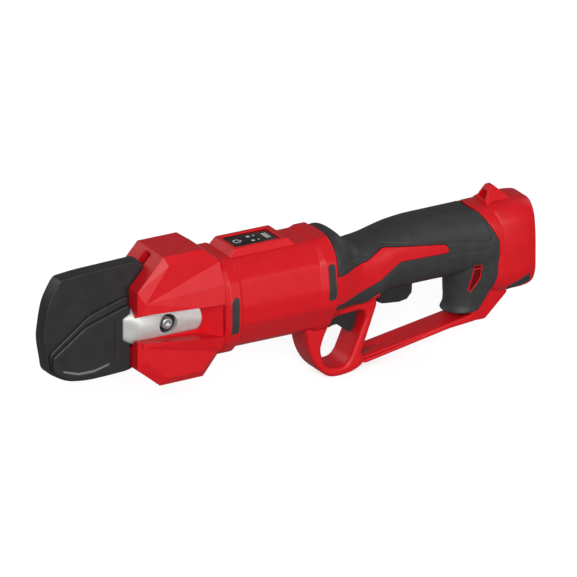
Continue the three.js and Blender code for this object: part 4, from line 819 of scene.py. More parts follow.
# %% Outlines of the overmold
FAR = 200.0
OVERMOLD_SIDE = [(1.3, -12), (6.2, -12.3), (27.2, -15.1), (33, -10), (38, -8.5), (38.5, -20)]
FLASH = [
    (-60, 12), (6.1, 12), (27.8, 15.8), (39.1, 21.7), (84.1, 15.4), (86.4, 11), (85, 9.5),
    (50.3, 10.3),
    (35.1, 0.5), (8.2, -7.8), (-60, -8.2),
]
REAR_EDGE = [
    (-35, -FAR), (5.5, -FAR), (3.5, -12.7), (3, 10.4), (-1.6, 19.5), (-5.8, 27), (-8.8, 31.3),
    (-14, 33.5), (-14, FAR),
]
PAD_LINE = [
    (3.9, 17.3), (8.1, 19.5), (29.6, 18.2), (37.8, 24.1), (79.5, 16.9), (111.6, 11.9),
    (116.4, 12.2),
    (117.6, 15.1), (112.8, 26.5), (106, 33.5),
]
PANEL_LINE = [(86, 7.2), (113, 6.8), (118.4, 5.2), (119.6, 1.0), (119.9, -16), (111.2, -32.5)]
LOWER_LINE = [(5.5, -9.2), (34.4, -1.4), (49.5, 8.2), (60, 8.0)]
AIR_SLOT = [
    (-13.4, -3.7), (-7.9, -4), (-8.7, -13.4), (-10.1, -16.4), (-14.4, -22.7), (-16.3, -21.4)
]


def moved(outline, x, z=0.0):
    """An [x, z] outline shifted along the tool."""
    return np.asarray(outline, float) + [x, z]


def line_distance(line, x, z):
    """Distance in the side view to the nearest point of an open line."""
    best = np.full(x.shape, np.inf)
    for (ax, az), (bx, bz) in zip(line[:-1], line[1:]):
        dx, dz = bx - ax, bz - az
        t = np.clip(((x - ax) * dx + (z - az) * dz) / (dx * dx + dz * dz), 0, 1)
        best = np.minimum(best, np.hypot(x - ax - t * dx, z - az - t * dz))
    return best


def slot_distance(x_from, x_to, half_width, points):
    """Signed distance from a slot seen from below; only the underside has the slot."""
    x, y, z = np.moveaxis(points, -1, 0)
    beside = np.maximum(np.maximum(x_from - x, x - x_to), np.abs(y) - half_width)
    return np.where(z < -4.0, beside, 50.0)


TRIGGER_SLOT = 7.1
TRIGGER_SLOTS = ((1.4, 26.8), (38.2, 67.0))


def trigger_slots(points):
    """Signed distance from the two openings that the trigger's lobes come through."""
    front, rear = (
        slot_distance(NECK_X + start, NECK_X + end, TRIGGER_SLOT, points) for start,
        end in TRIGGER_SLOTS
    )
    return np.minimum(front, rear)


overmold_outline = rounded(
    np.vstack([moved(OVERMOLD_SIDE, NECK_X), moved(REAR_EDGE, HOUSING_X), [[NECK_X + 1.3, FAR]]]),
    2.0
)
flash_outline = rounded(moved(FLASH, NECK_X), 2.0)
air_outline = rounded(moved(AIR_SLOT, HOUSING_X), 0.8)
GROOVE = 0.2
LINE_DEPTH = 0.35
LINE_WIDTH = 0.45


def dipped(points, normals):
    """The points sunk by depth times exp(-(d / width)^2), d being the distance to the nearest
    line."""
    x, z = points[..., 0], points[..., 2]
    drawn = (PAD_LINE, PANEL_LINE, LOWER_LINE)
    near = np.minimum.reduce([line_distance(moved(line, NECK_X), x, z) for line in drawn])
    return points - normals * (LINE_DEPTH * np.exp(-((near / LINE_WIDTH) ** 2)))[..., None]


grip_x, grip_z = grip_points[..., 0], grip_points[..., 2]
slots = trigger_slots(grip_points)
over_field = distance_to(overmold_outline, grip_x, grip_z)
flash_field = distance_to(flash_outline, grip_x, grip_z)
air_field = distance_to(air_outline, grip_x, grip_z)
under_field = slot_distance(NECK_X + 37.0, NECK_X + 76.0, 8.6, grip_points)
skin(
    "grip_overmold",
    dipped(grip_points, grip_normals),
    grip_normals,
    np.maximum.reduce([over_field, GROOVE - flash_field, -slots, -air_field, -under_field]),
    "soft_overmold",
    "body",
    ("left_overmold", "right_overmold"),
)
red_field = np.minimum.reduce([flash_field, GROOVE - over_field, under_field + GROOVE])
skin(
    "grip_flash",
    grip_points,
    grip_normals,
    np.maximum.reduce([red_field, -slots, grip_x - NECK_X - 125.0]),
    "red_shell",
    "body",
    SHELLS,
    lip=0.35,
)
core_points, core_normals = grip_surface(inset=1.5, along_steps=120, around_steps=110)
skin(
    "grip_core", core_points, core_normals, -trigger_slots(core_points), "groove_shadow",
    "body", SHELLS, lip=0.1, depth=1.0
)
print("grip pieces made")

# %% [markdown]
# ## Plates with holes
# The finger loop, the guard bar and the sheath are flat outlines with rounded edges. A filled
# two-dimensional curve with a bevel makes that exactly, hole and all, and it is turned into a
# mesh before it is stood up on its side. What has to be cut away is taken out with a closed
# cutter.

# %% Rounded plates


def plate_mesh(name, outlines, half_width, edge, steps=5):
    """A mesh from closed [x, z] outlines: the first is the outside and the rest are holes. The
    sides
    are half_width from the mid-plane and the edges are rounded by edge."""
    curve = bpy.data.curves.new(name, "CURVE")
    curve.dimensions = "2D"
    curve.fill_mode = "BOTH"
    for outline in outlines:
        points = np.asarray(outline, float)
        spline = curve.splines.new("POLY")
        spline.points.add(len(points) - 1)
        spline.points.foreach_set(
            "co",
            np.column_stack([points * MM, np.zeros(len(points)), np.ones(len(points))]).ravel()
        )
        spline.use_cyclic_u = True
    curve.extrude = (half_width - edge) * MM
    curve.bevel_depth = edge * MM
    curve.bevel_resolution = steps
    curve.offset = -edge * MM
    holder = bpy.data.objects.new(name, curve)
    bpy.context.scene.collection.objects.link(holder)
    mesh = bpy.data.meshes.new_from_object(
        holder.evaluated_get(bpy.context.evaluated_depsgraph_get())
    )
    bpy.data.objects.remove(holder)
    flat = np.zeros(len(mesh.vertices) * 3)
    mesh.vertices.foreach_get("co", flat)
    flat = flat.reshape(-1, 3)
    standing = np.column_stack([flat[:, 0], -flat[:, 2], flat[:, 1]]) + DRIVE_ORIGIN * MM
    mesh.vertices.foreach_set("co", standing.ravel())
    work = bmesh.new()
    work.from_mesh(mesh)
    bmesh.ops.remove_doubles(work, verts=work.verts, dist=0.000002)
    bmesh.ops.recalc_face_normals(work, faces=work.faces)
    work.to_mesh(mesh)
    work.free()
    mesh.name = name
    mesh.shade_smooth()
    return mesh


def combine(piece, other, operation):
    """Joins a closed object into a piece or takes it out for good, and removes the object."""
    modifier = piece.modifiers.new("combine", "BOOLEAN")
    modifier.operation = operation
    modifier.object = other
    modifier.solver = "EXACT"
    result = bpy.data.meshes.new_from_object(
        piece.evaluated_get(bpy.context.evaluated_depsgraph_get())
    )
    piece.modifiers.clear()
    result.name = piece.data.name
    piece.data = result
    bpy.data.objects.remove(other)


def carve(piece, cutter):
    """Takes a closed cutter out of a piece."""
    combine(piece, cutter, "DIFFERENCE")


def standing_object(name, mesh):
    """A mesh in an object of its own, to join or to carve with."""
    holder = bpy.data.objects.new(name, mesh)
    bpy.context.scene.collection.objects.link(holder)
    return holder


def hull_mesh(name, corners):
    """The convex hull of [x, |y|, z] corners and their mirror images, with flat triangles
    joined."""
    corners = np.asarray(corners, float)
    work = bmesh.new()
    for x, y, z in metres(np.vstack([corners, corners * [1, -1, 1]])):
        work.verts.new((x, y, z))
    bmesh.ops.remove_doubles(work, verts=work.verts, dist=0.000002)
    hull = bmesh.ops.convex_hull(work, input=work.verts)
    loose = {
        v for v in hull["geom_interior"] + hull["geom_unused"] if isinstance(v, bmesh.types.BMVert)
    }
    bmesh.ops.delete(work, geom=list(loose), context="VERTS")
    bmesh.ops.dissolve_limit(
        work, angle_limit=math.radians(1.0), verts=work.verts, edges=work.edges
    )
    bmesh.ops.recalc_face_normals(work, faces=work.faces)
    mesh = bpy.data.meshes.new(name)
    work.to_mesh(mesh)
    work.free()
    mesh.shade_smooth()
    return mesh


def cutter_block(low, high):
    """A closed box between two corners, only used to carve."""
    (x0, y0, z0), (x1, y1, z1) = low, high
    points = [(x, y, z) for x in (x0, x1) for y in (y0, y1) for z in (z0, z1)]
    faces = [(0, 1, 3, 2), (4, 6, 7, 5), (0, 4, 5, 1), (2, 3, 7, 6), (0, 2, 6, 4), (1, 5, 7, 3)]
    return standing_object("cutter", face_out(mesh_of("cutter", points, faces, smooth=False)))


# %% Finger loop and guard bar
LOOP_HALF_WIDTH = 11.5
LOOP_EDGE = 2.4
BAR_HALF_WIDTH = 10.0
BAR_EDGE = 1.3
LOOP_OUTSIDE = [
    (-20, -10), (-13.8, -27), (-12.4, -38), (-9.5, -47), (-4.5, -55), (1.5, -60.4), (6.5, -62),
    (12, -62),
    (19, -61.2), (24.5, -59.2), (28, -56.8), (30, -53), (26.5, -50), (38.6, -17), (36, -10),
]
LOOP_OPENING = [
    (4.5, -23.6), (8.5, -21), (26, -20.2), (29.2, -22), (29.6, -26), (17.9, -52.3), (14, -55.6),
    (7.5, -56),
    (1.2, -54), (-1.6, -48), (-3.2, -41.5), (-0.5, -33),
]
BAR_OUTLINE = np.vstack(
    [
        moved([(24, -53.4), (30, -57.6)], NECK_X),
        moved([(-28, -46.4), (-8, -44.6), (-8, -39), (-21, -41.2)], HOUSING_X),
    ]
)
loop = put(
    "finger_loop",
    plate_mesh(
        "finger_loop",
        [rounded(moved(LOOP_OUTSIDE, NECK_X), 6.0), rounded(moved(LOOP_OPENING, NECK_X), 5.0)],
        LOOP_HALF_WIDTH,
        LOOP_EDGE,
    ),
    "red_shell",
    "body",
    SHELLS,
)
front_start, front_end = TRIGGER_SLOTS[0]
carve(
    loop,
    cutter_block(
        (NECK_X + front_start, -TRIGGER_SLOT, -26.0), (NECK_X + front_end, TRIGGER_SLOT, 0.0)
    ),
)
guard = put(
    "guard_bar", plate_mesh("guard_bar", [rounded(BAR_OUTLINE, 1.5)], BAR_HALF_WIDTH, BAR_EDGE),
    "red_shell", "body", SHELLS
)
seam = moved(BAR_OUTLINE, 0.0, 4.9)
carve(guard, standing_object("seam", plate_mesh("seam", [seam], 0.2, 0.02, steps=0)))
print("loop and bar made")

# %% [markdown]
# ## Rear post, lug and battery housing
# The overmold runs down the rear post and flares at its foot, where the guard bar ends in a red
# lug. Behind it the housing is a soft box: it swells from the grip, is straight for most of its
# length, and turns in at the rear rim, where the skin folds back into the socket that takes the
# battery.

# %% Post, lug and housing
POST_LEVELS = np.array(
    [
        [-37.0, -27.7, -7.6, 13.4, 12.6], [-35.6, -27.0, -6.8, 13.1, 12.8],
        [-33.5, -25.8, -5.4, 12.8, 13.4],
        [-30.0, -25.2, -3.6, 12.9, 14.6], [-24.0, -25.2, -1.0, 13.6, 16.9],
        [-18.0, -25.2, 2.2, 15.0, 19.2],
        [-12.0, -25.2, 4.0, 16.4, 20.6], [-5.0, -25.2, 4.2, 17.6, 20.8],
        [4.0, -25.2, 4.2, 18.2, 20.8],
    ]
)


def post_surface(inset=0.0, along_steps=110, around_steps=200):
    """Levels of a post: each is z, front x, rear x, half width in front and half width behind.
    The front
    half of a level is half a circle of that width. The rear half is a rounded box, |u|^8 +
    |v|^8 = 1,
    that widens evenly to the rear, until it is flush with the housing."""
    z = np.linspace(POST_LEVELS[0, 0], POST_LEVELS[-1, 0], along_steps)
    front, rear, half_width, wide = (
        smooth_curve(z, POST_LEVELS[:, 0], POST_LEVELS[:, k]) for k in (1, 2, 3, 4)
    )
    angle = np.linspace(0, 2 * math.pi, around_steps, endpoint=False)
    c, s = np.cos(angle), np.sin(angle)
    power = np.where(c < 0, 1.0, 0.25)
    middle = (front + half_width)[:, None]
    share = np.where(c < 0, 0.0, np.abs(c) ** power)
    along = np.where(c < 0, half_width[:, None] * c, (rear[:, None] - middle) * share)
    width = half_width[:, None] + (wide - half_width)[:, None] * share
    across = width * np.sign(s) * np.abs(s) ** power
    points = np.stack(
        [HOUSING_X + middle + along, across, np.repeat(z[:, None], around_steps, 1)], -1
    )
    normals = grid_normals(points)
    return points - normals * inset, normals


post_points, post_normals = post_surface()
post_x, post_z = post_points[..., 0], post_points[..., 2]
post_air = distance_to(air_outline, post_x, post_z)
skin(
    "rear_post",
    dipped(post_points, post_normals),
    post_normals,
    np.maximum(-post_air, -36.7 - post_z),
    "soft_overmold",
    "body",
    ("left_overmold", "right_overmold"),
    lip=0.6,
)
post_core, core_normals = post_surface(inset=1.5, along_steps=50, around_steps=100)
skin(
    "post_core", post_core, core_normals, -36.0 - post_core[..., 2], "groove_shadow", "body",
    SHELLS, lip=0.1, depth=1.0
)
# The air slots are lined with a dark red that is painted shade, and a red rim runs round each.
for label, points, normals, field in (
    ("grip", grip_points, grip_normals, np.maximum(air_field, -8.3 - grip_z)),
    ("post", post_points, post_normals, np.maximum(post_air, post_z + 6.0)),
):
    lining = points - normals * 1.35
    skin(
        f"{label}_air_slot", lining, normals, field, "slot_shade_red", "body", SHELLS, lip=0.1,
        depth=0.3
    )
    edge = np.maximum.reduce([field - 0.1, -0.75 - field])
    skin(
        f"{label}_air_rim", points - normals * 0.3, normals, edge, "red_shell", "body", SHELLS,
        lip=0.15, depth=0.9
    )
lug = put(
    "bar_lug",
    hull_mesh(
        "bar_lug",
        [
            (HOUSING_X + x, y, z)
            for x, y, z in (
                (-14, 9, -30), (-11, 10, -44.5), (-2, 10, -44.5), (5.5, 11, -34.8), (14, 11, -28.4),
                (8, 13, -18), (-14, 11, -20),
            )
        ],
    ),
    "red_shell",
    "body",
    SHELLS,
)
soften(lug, 1.6, segments=4, angle=15.0)

HOUSING_HALF = [
    (0, 33.4), (9.5, 33.4), (15, 30), (18.8, 23), (20.4, 10), (20.4, -14), (17.5, -22),
    (11, -27.5), (0, -28.5)
]
SOCKET_DEPTH = 66.0
SOCKET_HALF_WIDTH = 14.4
SOCKET_HALF_HEIGHT = 17.5
SOCKET_MIDDLE_Z = 10.1


def socket_ring(like, x):
    """A socket outline with a point at the same angle as each point of the outer ring: the oval
    |y/14.4|^2.7 + |z/17.5|^2.7 = 1 round z = 10.1."""
    angle = np.arctan2(like[:, 0], like[:, 1] - SOCKET_MIDDLE_Z)
    across, up = np.sin(angle), np.cos(angle)
    radius = (
        np.abs(
            across / SOCKET_HALF_WIDTH
        ) ** OVAL_POWER + np.abs(up / SOCKET_HALF_HEIGHT) ** OVAL_POWER
    ) ** (-1 / OVAL_POWER)
    return x, np.column_stack([radius * across, SOCKET_MIDDLE_Z + radius * up])


straight = section(HOUSING_HALF, 0.0, 7.0)
housing = put(
    "battery_housing",
    loft(
        "battery_housing",
        [
            (HOUSING_X - 3.0, section(HOUSING_HALF, -4.0, 7.0)),
            (HOUSING_X + 0.5, section(HOUSING_HALF, -2.0, 7.0)),
            (HOUSING_X + 3.0, section(HOUSING_HALF, -0.6, 7.0)),
            (HOUSING_X + 5.5, straight),
            (REAR_RIM_X - 8.0, straight),
            (REAR_RIM_X - 3.0, section(HOUSING_HALF, -0.6, 7.0)),
            (REAR_RIM_X - 0.6, section(HOUSING_HALF, -1.4, 7.0)),
            (REAR_RIM_X, section(HOUSING_HALF, -2.2, 7.0)),
            socket_ring(straight, REAR_RIM_X),
            socket_ring(straight, REAR_RIM_X - SOCKET_DEPTH),
        ],
    ),
    "red_shell",
    "body",
    SHELLS,
)
soften(housing, 0.5, angle=30.0)
print("housing made")

# %% [markdown]
# ## Tether eye
# A small ridge on top of the housing with a tunnel through it, where a lanyard is tied on. It is
# a hull of a few corners with a wedge-shaped hole carved along it.

# %% Tether eye
EYE_CORNERS = [
    (0.7, 8.3, 31), (0.7, 6, 33.5), (5.3, 2.6, 42), (8.5, 2.6, 42), (17.5, 8.3, 33.3),
    (17.5, 8.3, 31),
]
eye = put(
    "tether_eye", hull_mesh("tether_eye", [(HOUSING_X + x, y, z) for x, y, z in EYE_CORNERS]),
    "red_shell", "body", SHELLS
)
tunnel = [(-4.4, 34.0), (4.4, 34.0), (2.2, 38.8), (-2.2, 38.8)]
tunnel_points = [(x, y, z) for x in (HOUSING_X - 10, HOUSING_X + 30) for y, z in tunnel]
tunnel_faces = [(0, 1, 2, 3), (4, 5, 6, 7), (0, 1, 5, 4), (1, 2, 6, 5), (2, 3, 7, 6), (3, 0, 4, 7)]
tunnel_mesh = face_out(mesh_of("tunnel", tunnel_points, tunnel_faces, smooth=False))
carve(eye, standing_object("tunnel", tunnel_mesh))
soften(eye, 0.7, angle=25.0)
print("tether eye", len(eye.data.polygons), "facets")

# %% [markdown]
# ## Control pod
# The panel lies in a tray on top of the barrel. The tray is a hull with sloped ends, and the
# panel's recess is carved out of it before its edges are softened.

# %% Pod
POD = [
    (BARREL_X - 2.5, 13.6, 34.0), (BARREL_X + 3.5, 12.6, 40.5), (BARREL_X + 42.0, 12.6, 40.5),
    (BARREL_X + 48.0, 13.6, 34.0),
]
pod = put("control_pod", hull_mesh("control_pod", POD), "red_shell", "body", SHELLS)
carve(pod, cutter_block((BARREL_X + 5.7, -9.7, 37.5), (BARREL_X + 38.3, 9.7, 60.0)))
soften(pod, 0.8, segments=4, angle=20.0)
print("pod", len(pod.data.polygons), "facets")

# %% [markdown]
# ## Blade sheath
# The sheath is a thin scabbard: a rounded plate with a rim, a shoulder and a raised lower part,
# one over the other. Each is a rounded plate of its own width. The blades' pocket and the room
# for the nose are carved out, so it is hollow when it slides off.

# %% Sheath
SHEATH_OUTSIDE = [
    (7.0, 42.8), (-39.7, 41.6), (-52.4, 40.3), (-54.4, 38.2), (-57.8, 33), (-61.5, 25.6),
    (-63.6, 15.8), (-65.4, 3), (-64.6, -4.4),
    (-63.0, -12.8), (-62, -20.8), (-48.6, -28.9), (-34, -31), (-19.5, -30.6), (0.7, -29.5),
]
STEP_TOP = [(-4.8, 21.8), (-33, 13.2), (-60, -6.6), (-61.4, -9.4)]
STEP_LOW = [(-4.8, 16.7), (-36.3, 7.4), (-59.6, -9), (-60.2, -10.4)]
RAISED_BASE = [(-60.4, -19.6), (-47.6, -27.2), (-34, -29.2), (-19.5, -28.8), (-4.8, -28.1)]
LABEL = [
    (-15.9, 8.6), (-15.9, -17.3), (-20.2, -21.9), (-31.1, -24.5), (-42, -24.4), (-53.6, -20.4),
    (-55.4, -11.5), (-36.8, 2.6)
]


def turned_mesh(name, profile, sides=64):
    """A closed solid turned about the drive axis from [x, radius] points that start and end on
    it."""
    profile = np.asarray(profile, float)
    angle = np.linspace(0, 2 * math.pi, sides, endpoint=False)
    ring = np.column_stack([np.cos(angle), np.sin(angle)])
    inner = profile[1:-1]
    rows = [np.column_stack([np.full(sides, x), ring * r]) for x, r in inner]
    points = np.vstack([*rows, [[profile[0, 0], 0, 0], [profile[-1, 0], 0, 0]]])
    faces = ring_faces(len(inner), sides).tolist()
    first, last = len(points) - 2, len(points) - 1
    tail = (len(inner) - 1) * sides
    faces += [(first, k, (k + 1) % sides) for k in range(sides)]
    faces += [(last, tail + (k + 1) % sides, tail + k) for k in range(sides)]
    return face_out(mesh_of(name, points, faces))


def sheath_piece(name, outline, corner, half_width, edge):
    """A rounded plate of the sheath: its outline, corner radius, half width and edge radius."""
    mesh = plate_mesh(name, [rounded(outline, corner)], half_width, edge)
    return put(name, mesh, "black_plastic", "sheath", ("sheath",))


scabbard = sheath_piece("sheath_plate", SHEATH_OUTSIDE, 6.0, 5.3, 0.7)
shoulder = sheath_piece("sheath_shoulder", STEP_TOP + RAISED_BASE, 4.0, 6.9, 0.8)
raised = sheath_piece("sheath_raised", STEP_LOW + RAISED_BASE, 4.0, 9.4, 1.0)
pocket = rounded(
    [
        (20, 40.0), (-38, 39.0), (-50.8, 37.8), (-55.4, 32), (-59, 24.6), (-61, 15.2),
        (-62.6, 3), (-60, -18.8), (-48, -26.4), (-20, -28.0), (20, -27.0)
    ],
    5.0,
)
nose_room = [(-10.5, 0), (-10.5, 11.9), (0, 15.9), (60, 15.5), (60, 0)]
for part in (scabbard, shoulder, raised):
    carve(part, standing_object("pocket", plate_mesh("pocket", [pocket], 3.8, 0.05, steps=0)))
    carve(part, standing_object("nose_room", turned_mesh("nose_room", nose_room)))
RIM_FACE = 4.75
LABEL_FACE = 8.9
CUTTER_HALF = 3.0
rim_inside = outward(rounded(SHEATH_OUTSIDE, 6.0), -1.7)
rim_inside[:, 0] = np.where(rim_inside[:, 0] > 2.0, 30.0, rim_inside[:, 0])
for side in (-1.0, 1.0):
    face = plate_mesh("rim_cut", [rim_inside], CUTTER_HALF, 0.05, steps=0)
    face.transform(Matrix.Translation((0.0, side * (RIM_FACE + CUTTER_HALF) * MM, 0.0)))
    carve(scabbard, standing_object("rim_cut", face))
    label = plate_mesh("label_cut", [rounded(LABEL, 2.0)], CUTTER_HALF, 0.05, steps=0)
    label.transform(Matrix.Translation((0.0, side * (LABEL_FACE + CUTTER_HALF) * MM, 0.0)))
    carve(raised, standing_object("label_cut", label))
# A thin strip along the label's lower edge, light grey: a painted highlight where that edge catches
# the light.
rib = [
    (-53.6, -20.6), (-42, -24.5), (-31.1, -24.6), (-20.2, -21.9), (-19.8, -20.5),
    (-31.1, -22.9), (-42, -22.8), (-53.0, -19.2),
]
highlight_rib = sheath_piece("sheath_highlight_rib", rib, 0.5, 9.25, 0.2)
highlight_rib.data.materials[0] = MATERIALS["painted_highlight_grey"]
for part in (scabbard, shoulder, raised):
    part.data.shade_smooth()
    soften(part, 0.22, segments=2, angle=35.0)
print("sheath made")

# %% [markdown]
# ## Head covers
# The head is a flat-sided block whose rear flares out to meet the flange. Two hulls make it: the
# block and the flare, united so that a valley runs between them. The windows, the nose's room,
# the sheath's room and the blades' slot are then carved, and a thin cut parts the left cover from
# the right.

# %% Head covers
HEAD_REAR_X = FLANGE_X - 0.3
BLOCK = [
    (-4, 16.7, 25.9), (14.8, 16.7, 46.6), (43, 16.7, 46.6), (16.8, 20, 41.2), (38.9, 20.4, 41),
    (0.2, 19.5, 18.5),
    (43, 16.7, -39.2), (40, 20.4, -34), (12, 16.7, -39.6), (15.7, 20, -34.1),
    (0.5, 19.4, -19.5), (-4, 16.7, -26),
    (HEAD_REAR_X, 16.7, 39.4), (HEAD_REAR_X, 20.4, 37.8), (HEAD_REAR_X, 20.4, -20),
    (HEAD_REAR_X, 17, -26.5),
    (HEAD_REAR_X, 8, -28),
]
FLARE = [
    (0.4, 19.4, 18.3), (-1.6, 19.4, -11), (HEAD_REAR_X, 20.8, 37.7), (HEAD_REAR_X, 27, 24),
    (HEAD_REAR_X, 28.5, 8),
    (HEAD_REAR_X, 28, -8), (HEAD_REAR_X, 24.4, -19), (HEAD_REAR_X, 23.3, -21.4),
    (HEAD_REAR_X, 10, -21.4),
]
WINDOW_TOP = 11.2
WINDOW_FRONT_X = -4.0
WINDOW_FLOOR = -7.3
WINDOW_FALL = 0.0715
SHEATH_ROOM = [(-60, -70), (1.7, -70), (1.7, -29.5), (7.5, 42.8), (7.5, 70), (-60, 70)]
SHEATH_SLOT_HALF = 5.8
BLADE_SLOT_HALF = 4.0
BLADE_ROOM = [
    (-60, -70), (12, -70), (12, -46), (27, -16), (30, 0), (31, 14), (13.5, 44), (12, 70),
    (-60, 70)
]


def room_cutter(name, outline, half_width):
    """A straight-sided plate of an [x, z] outline, half_width to each side, to carve with."""
    x, z = np.asarray(outline, float).T
    count = len(x)
    rows = [np.column_stack([x, np.full(count, y), z]) for y in (-half_width, half_width)]
    faces = ring_faces(2, count).tolist() + [list(range(count)), list(range(count, 2 * count))]
    return standing_object(name, face_out(mesh_of(name, np.vstack(rows), faces)))


def pocket_mesh(name, side):
    """The window's pocket on one side: deep in front, and ramped out to the side face behind."""
    corners = [(-60.0, 13.2), (41.0, 13.2), (HEAD_REAR_X + 0.3, 25.7), (75.0, 48.0), (-60.0, 48.0)]
    x, y = np.asarray(corners).T
    floor_z = WINDOW_FLOOR - WINDOW_FALL * (x - WINDOW_FRONT_X)
    rows = [np.column_stack([x, side * y, z]) for z in (floor_z, np.full_like(x, WINDOW_TOP))]
    count = len(corners)
    faces = ring_faces(2, count).tolist() + [list(range(count)), list(range(count, 2 * count))]
    return face_out(mesh_of(name, np.vstack(rows), faces))


head = put(
    "head_covers", hull_mesh("head_covers", BLOCK), "red_shell", "body",
    ("left_head_cover", "right_head_cover")
)
combine(head, standing_object("flare", hull_mesh("flare", FLARE)), "UNION")
NOSE_SPACE = [(-40, 0), (-40, 15.4), (50, 15.4), (50, 20.4), (60, 20.4), (60, 0)]
carve(head, standing_object("nose_space", turned_mesh("nose_space", NOSE_SPACE, 96)))
for side in (-1.0, 1.0):
    carve(head, standing_object("window", pocket_mesh("window", side)))
carve(head, room_cutter("sheath_space", SHEATH_ROOM, SHEATH_SLOT_HALF))
carve(head, room_cutter("blade_space", BLADE_ROOM, BLADE_SLOT_HALF))
SEAM_HALF = 0.1
for seam_low, seam_high in ((20.0, 60.0), (-60.0, -20.0)):
    carve(head, cutter_block((-20.0, -SEAM_HALF, seam_low), (70.0, SEAM_HALF, seam_high)))
work = bmesh.new()
work.from_mesh(head.data)
bmesh.ops.remove_doubles(work, verts=work.verts, dist=0.00001)
bmesh.ops.dissolve_limit(work, angle_limit=math.radians(0.5), verts=work.verts, edges=work.edges)
work.to_mesh(head.data)
work.free()
head.data.shade_smooth()
head.data.materials.clear()
head.data.materials.append(MATERIALS["red_shell"])
soften(head, 0.45, segments=3, angle=2.5)
print("head", len(head.data.polygons), "facets")

# %% [markdown]
# ## Nose tip
# The casting's tip turns from round into a blunt rounded square in front of the head. Its section
# follows |y / w|^n + |z / h|^n = 1, and n grows from 2, a circle, to 6, nearly a square. A block
# with bevelled corners would not meet the round part smoothly.

# %% Nose tip
NOSE_RADIUS = 15.0
TIP_LENGTH = 9.6
gear_copy = bpy.data.objects["gear_head_finished"]
gear_copy.modifiers.clear()
carve(gear_copy, cutter_block((-20.0, -30.0, -30.0), (0.05, 30.0, 30.0)))
soften(gear_copy, 0.4, angle=24.0)
tip_angle = np.linspace(0, 2 * math.pi, 96, endpoint=False)
tip_stations = []
for share in np.linspace(0.0, 1.0, 9):
    exponent = 2.0 + 4.0 * share**1.5
    across = np.abs(np.sin(tip_angle) / (NOSE_RADIUS - 5.8 * share))
    up = np.abs(np.cos(tip_angle) / (NOSE_RADIUS - 6.6 * share))
    reach = (across**exponent + up**exponent) ** (-1 / exponent)
    ring = np.column_stack([reach * np.sin(tip_angle), reach * np.cos(tip_angle)])
    tip_stations.append((-TIP_LENGTH * share, ring))
tip_stations.append((-10.2, tip_stations[-1][1] * 0.93))
tip_stations[0] = (0.2, tip_stations[0][1])
tip = put("nose_tip", loft("nose_tip", tip_stations), "cast_silver", "body", ("gear_head",))
carve(tip, room_cutter("blade_space", BLADE_ROOM, BLADE_SLOT_HALF))
tip.data.shade_smooth()
soften(tip, 0.3, angle=40.0)
print("nose tip", len(tip.data.polygons), "faces")

# %% [markdown]
# ## Painted shade round the bolt
# The pivot bolt and its nut each sit in a dark ring on the casting: painted shade, for the shadow
# in the recess round the bolt. It is a thin square-edged
# ring: four circles of points, joined in turn and then back to the first.
# ring: four circles of points, joined in turn and then back to the first.

# %% Painted shade round the bolt
BOLT_X = 19.3
SHADE_RING_SIDES = 64
SHADE_RING_CORNERS = ((3.9, 11.1), (3.9, 11.35), (6.4, 11.35), (6.4, 11.1))
ring_angle = np.linspace(0, 2 * math.pi, SHADE_RING_SIDES, endpoint=False)
for side, sign in (("left", -1.0), ("right", 1.0)):
    name = f"{side}_bolt_shade_ring"
    rows = [
        np.column_stack(
            [BOLT_X + r * np.cos(ring_angle), np.full(SHADE_RING_SIDES, sign * y), r * np.sin(ring_angle)]
        )
        for r, y in SHADE_RING_CORNERS
    ]
    last = (len(SHADE_RING_CORNERS) - 1) * SHADE_RING_SIDES
    faces = ring_faces(len(SHADE_RING_CORNERS), SHADE_RING_SIDES).tolist() + [
        (k, (k + 1) % SHADE_RING_SIDES, last + (k + 1) % SHADE_RING_SIDES, last + k) for k in range(SHADE_RING_SIDES)
    ]
    # The dark steel finish here is painted shade for the bolt's recess.
    put(name, face_out(mesh_of(name, np.vstack(rows), faces)), "dark_steel", "body")
print("bolt seats made")

# %% [markdown]
# ## Inserts and pads
# Black inserts sit in the flange and in the rear ring, and a pad under the housing keeps the tool
# from sliding on a bench. Each is a patch of its own surface, grown a little so that it stands
# proud.

# %% Inserts and pads


def tube_grid(half, grow, x_from, x_to, steps, radius=4.0, dense=40):
    """Points and normals of a straight tube with one section, resampled to even steps round it."""
    outline = section(half, grow, radius)
    closed = np.vstack([outline, outline[:1]])
    length = np.concatenate([[0.0], np.cumsum(np.linalg.norm(np.diff(closed, axis=0), axis=1))])
    at = np.linspace(0, length[-1], dense * 8, endpoint=False)
    even = np.column_stack([np.interp(at, length, closed[:, k]) for k in (0, 1)])
    x = np.linspace(x_from, x_to, steps)
    points = np.stack(
        [
            np.repeat(x[:, None], len(even), 1),
            *(np.repeat(even[None, :, k], steps, 0) for k in (0, 1)),
        ],
        -1
    )
    return points, grid_normals(points)


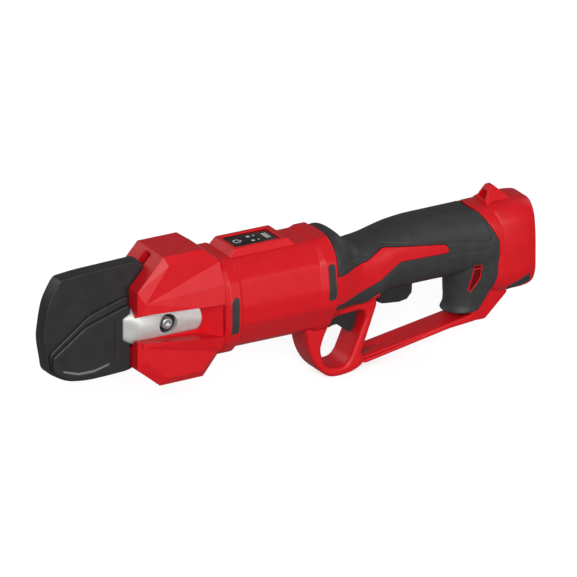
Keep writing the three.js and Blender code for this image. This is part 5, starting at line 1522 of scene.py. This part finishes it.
FRONT_INSERT = moved([(3.3, -10), (8.6, -10), (8.9, 13.6), (6.6, 15.4), (3.4, 12)], FLANGE_X)
REAR_INSERT = moved(
    [(-7, -1.4), (-2.2, -1.4), (-1.6, 1.6), (-2, 21), (-3.4, 23), (-7, 21.6)], NECK_X
)
PAD = moved([(-18.4, -22), (-5, -15.2), (-4.4, -21.6), (-18.8, -26.9)], REAR_RIM_X)
for label, outline, half, ends, corner in (
    ("front_insert", FRONT_INSERT, FLANGE_HALF, (FLANGE_X, BARREL_X), 4.0),
    ("rear_insert", REAR_INSERT, BARREL_HALF, (RING_X, NECK_X), 4.0),
    ("rear_pad", PAD, HOUSING_HALF, (HOUSING_X, REAR_RIM_X), 7.0),
):
    rise = 1.7 if label == "rear_insert" else 0.4
    points, normals = tube_grid(half, rise, *ends, 60, corner)
    field = distance_to(rounded(outline, 0.8), points[..., 0], points[..., 2])
    for side, sign in (("left", -1.0), ("right", 1.0)):
        one_side = np.maximum(field, -sign * points[..., 1])
        skin(
            f"{side}_{label}_skin", points, normals, one_side, "black_trim", "body",
            (f"{side}_{label}",), lip=0.35, depth=1.4
        )
print("inserts made")

# %% [markdown]
# ## What the panel shows
# Printed marks on the gloss panel: a power ring on the button, four small marks and a charge gauge.
# They are thin prints raised by a hair, so that they stay crisp at any distance.

# %% Panel marks


def print_mark(name, outlines, height, body):
    """A thin flat print: closed [x, y] outlines filled with faces at one height."""
    rows, faces, start = [], [], 0
    for outline in outlines:
        points = np.asarray(outline, float)
        rows.append(np.column_stack([points, np.full(len(points), height)]))
        faces.append(list(range(start, start + len(points))))
        start += len(points)
    mesh = mesh_of(name, np.vstack(rows), faces, smooth=False)
    piece = put(name, mesh, "icon_print", body)
    solid = piece.modifiers.new("film", "SOLIDIFY")
    solid.thickness = 0.03 * MM
    solid.offset = 1.0
    return piece


def arc_band(centre, inner, outer, start, end, steps=40):
    """A band between two radii, as one outline that runs out and back."""
    angle = np.radians(np.linspace(start, end, steps))
    ring = np.column_stack([np.cos(angle), np.sin(angle)])
    return np.vstack([ring * outer, ring[::-1] * inner]) + centre


def box_outline(x, y, length, width):
    """A rectangle from its middle and its sizes."""
    return [
        (x - length / 2, y - width / 2), (x + length / 2, y - width / 2),
        (x + length / 2, y + width / 2), (x - length / 2, y + width / 2)
    ]


BUTTON = (BARREL_X + 12.2, 0.0)
PANEL_TOP = 39.4
print_mark(
    "power_mark",
    [arc_band(BUTTON, 1.9, 2.7, 35, 325), box_outline(BUTTON[0] + 2.0, 0.0, 2.6, 0.7)],
    PANEL_TOP + 0.01,
    "power_button",
)
gauge = [box_outline(BARREL_X + 33.0, -3.4 + 1.7 * k, 3.4, 1.1) for k in range(5)]
squares = [box_outline(BARREL_X + 22.0, y, 2.2, 2.2) for y in (-3.6, 3.6)]
small = [box_outline(BARREL_X + 26.0, y, 1.1, 1.6) for y in (-3.6, 3.6)]
print_mark("gauge_marks", gauge + squares + small, PANEL_TOP + 0.01, "body")
print("panel marks made")
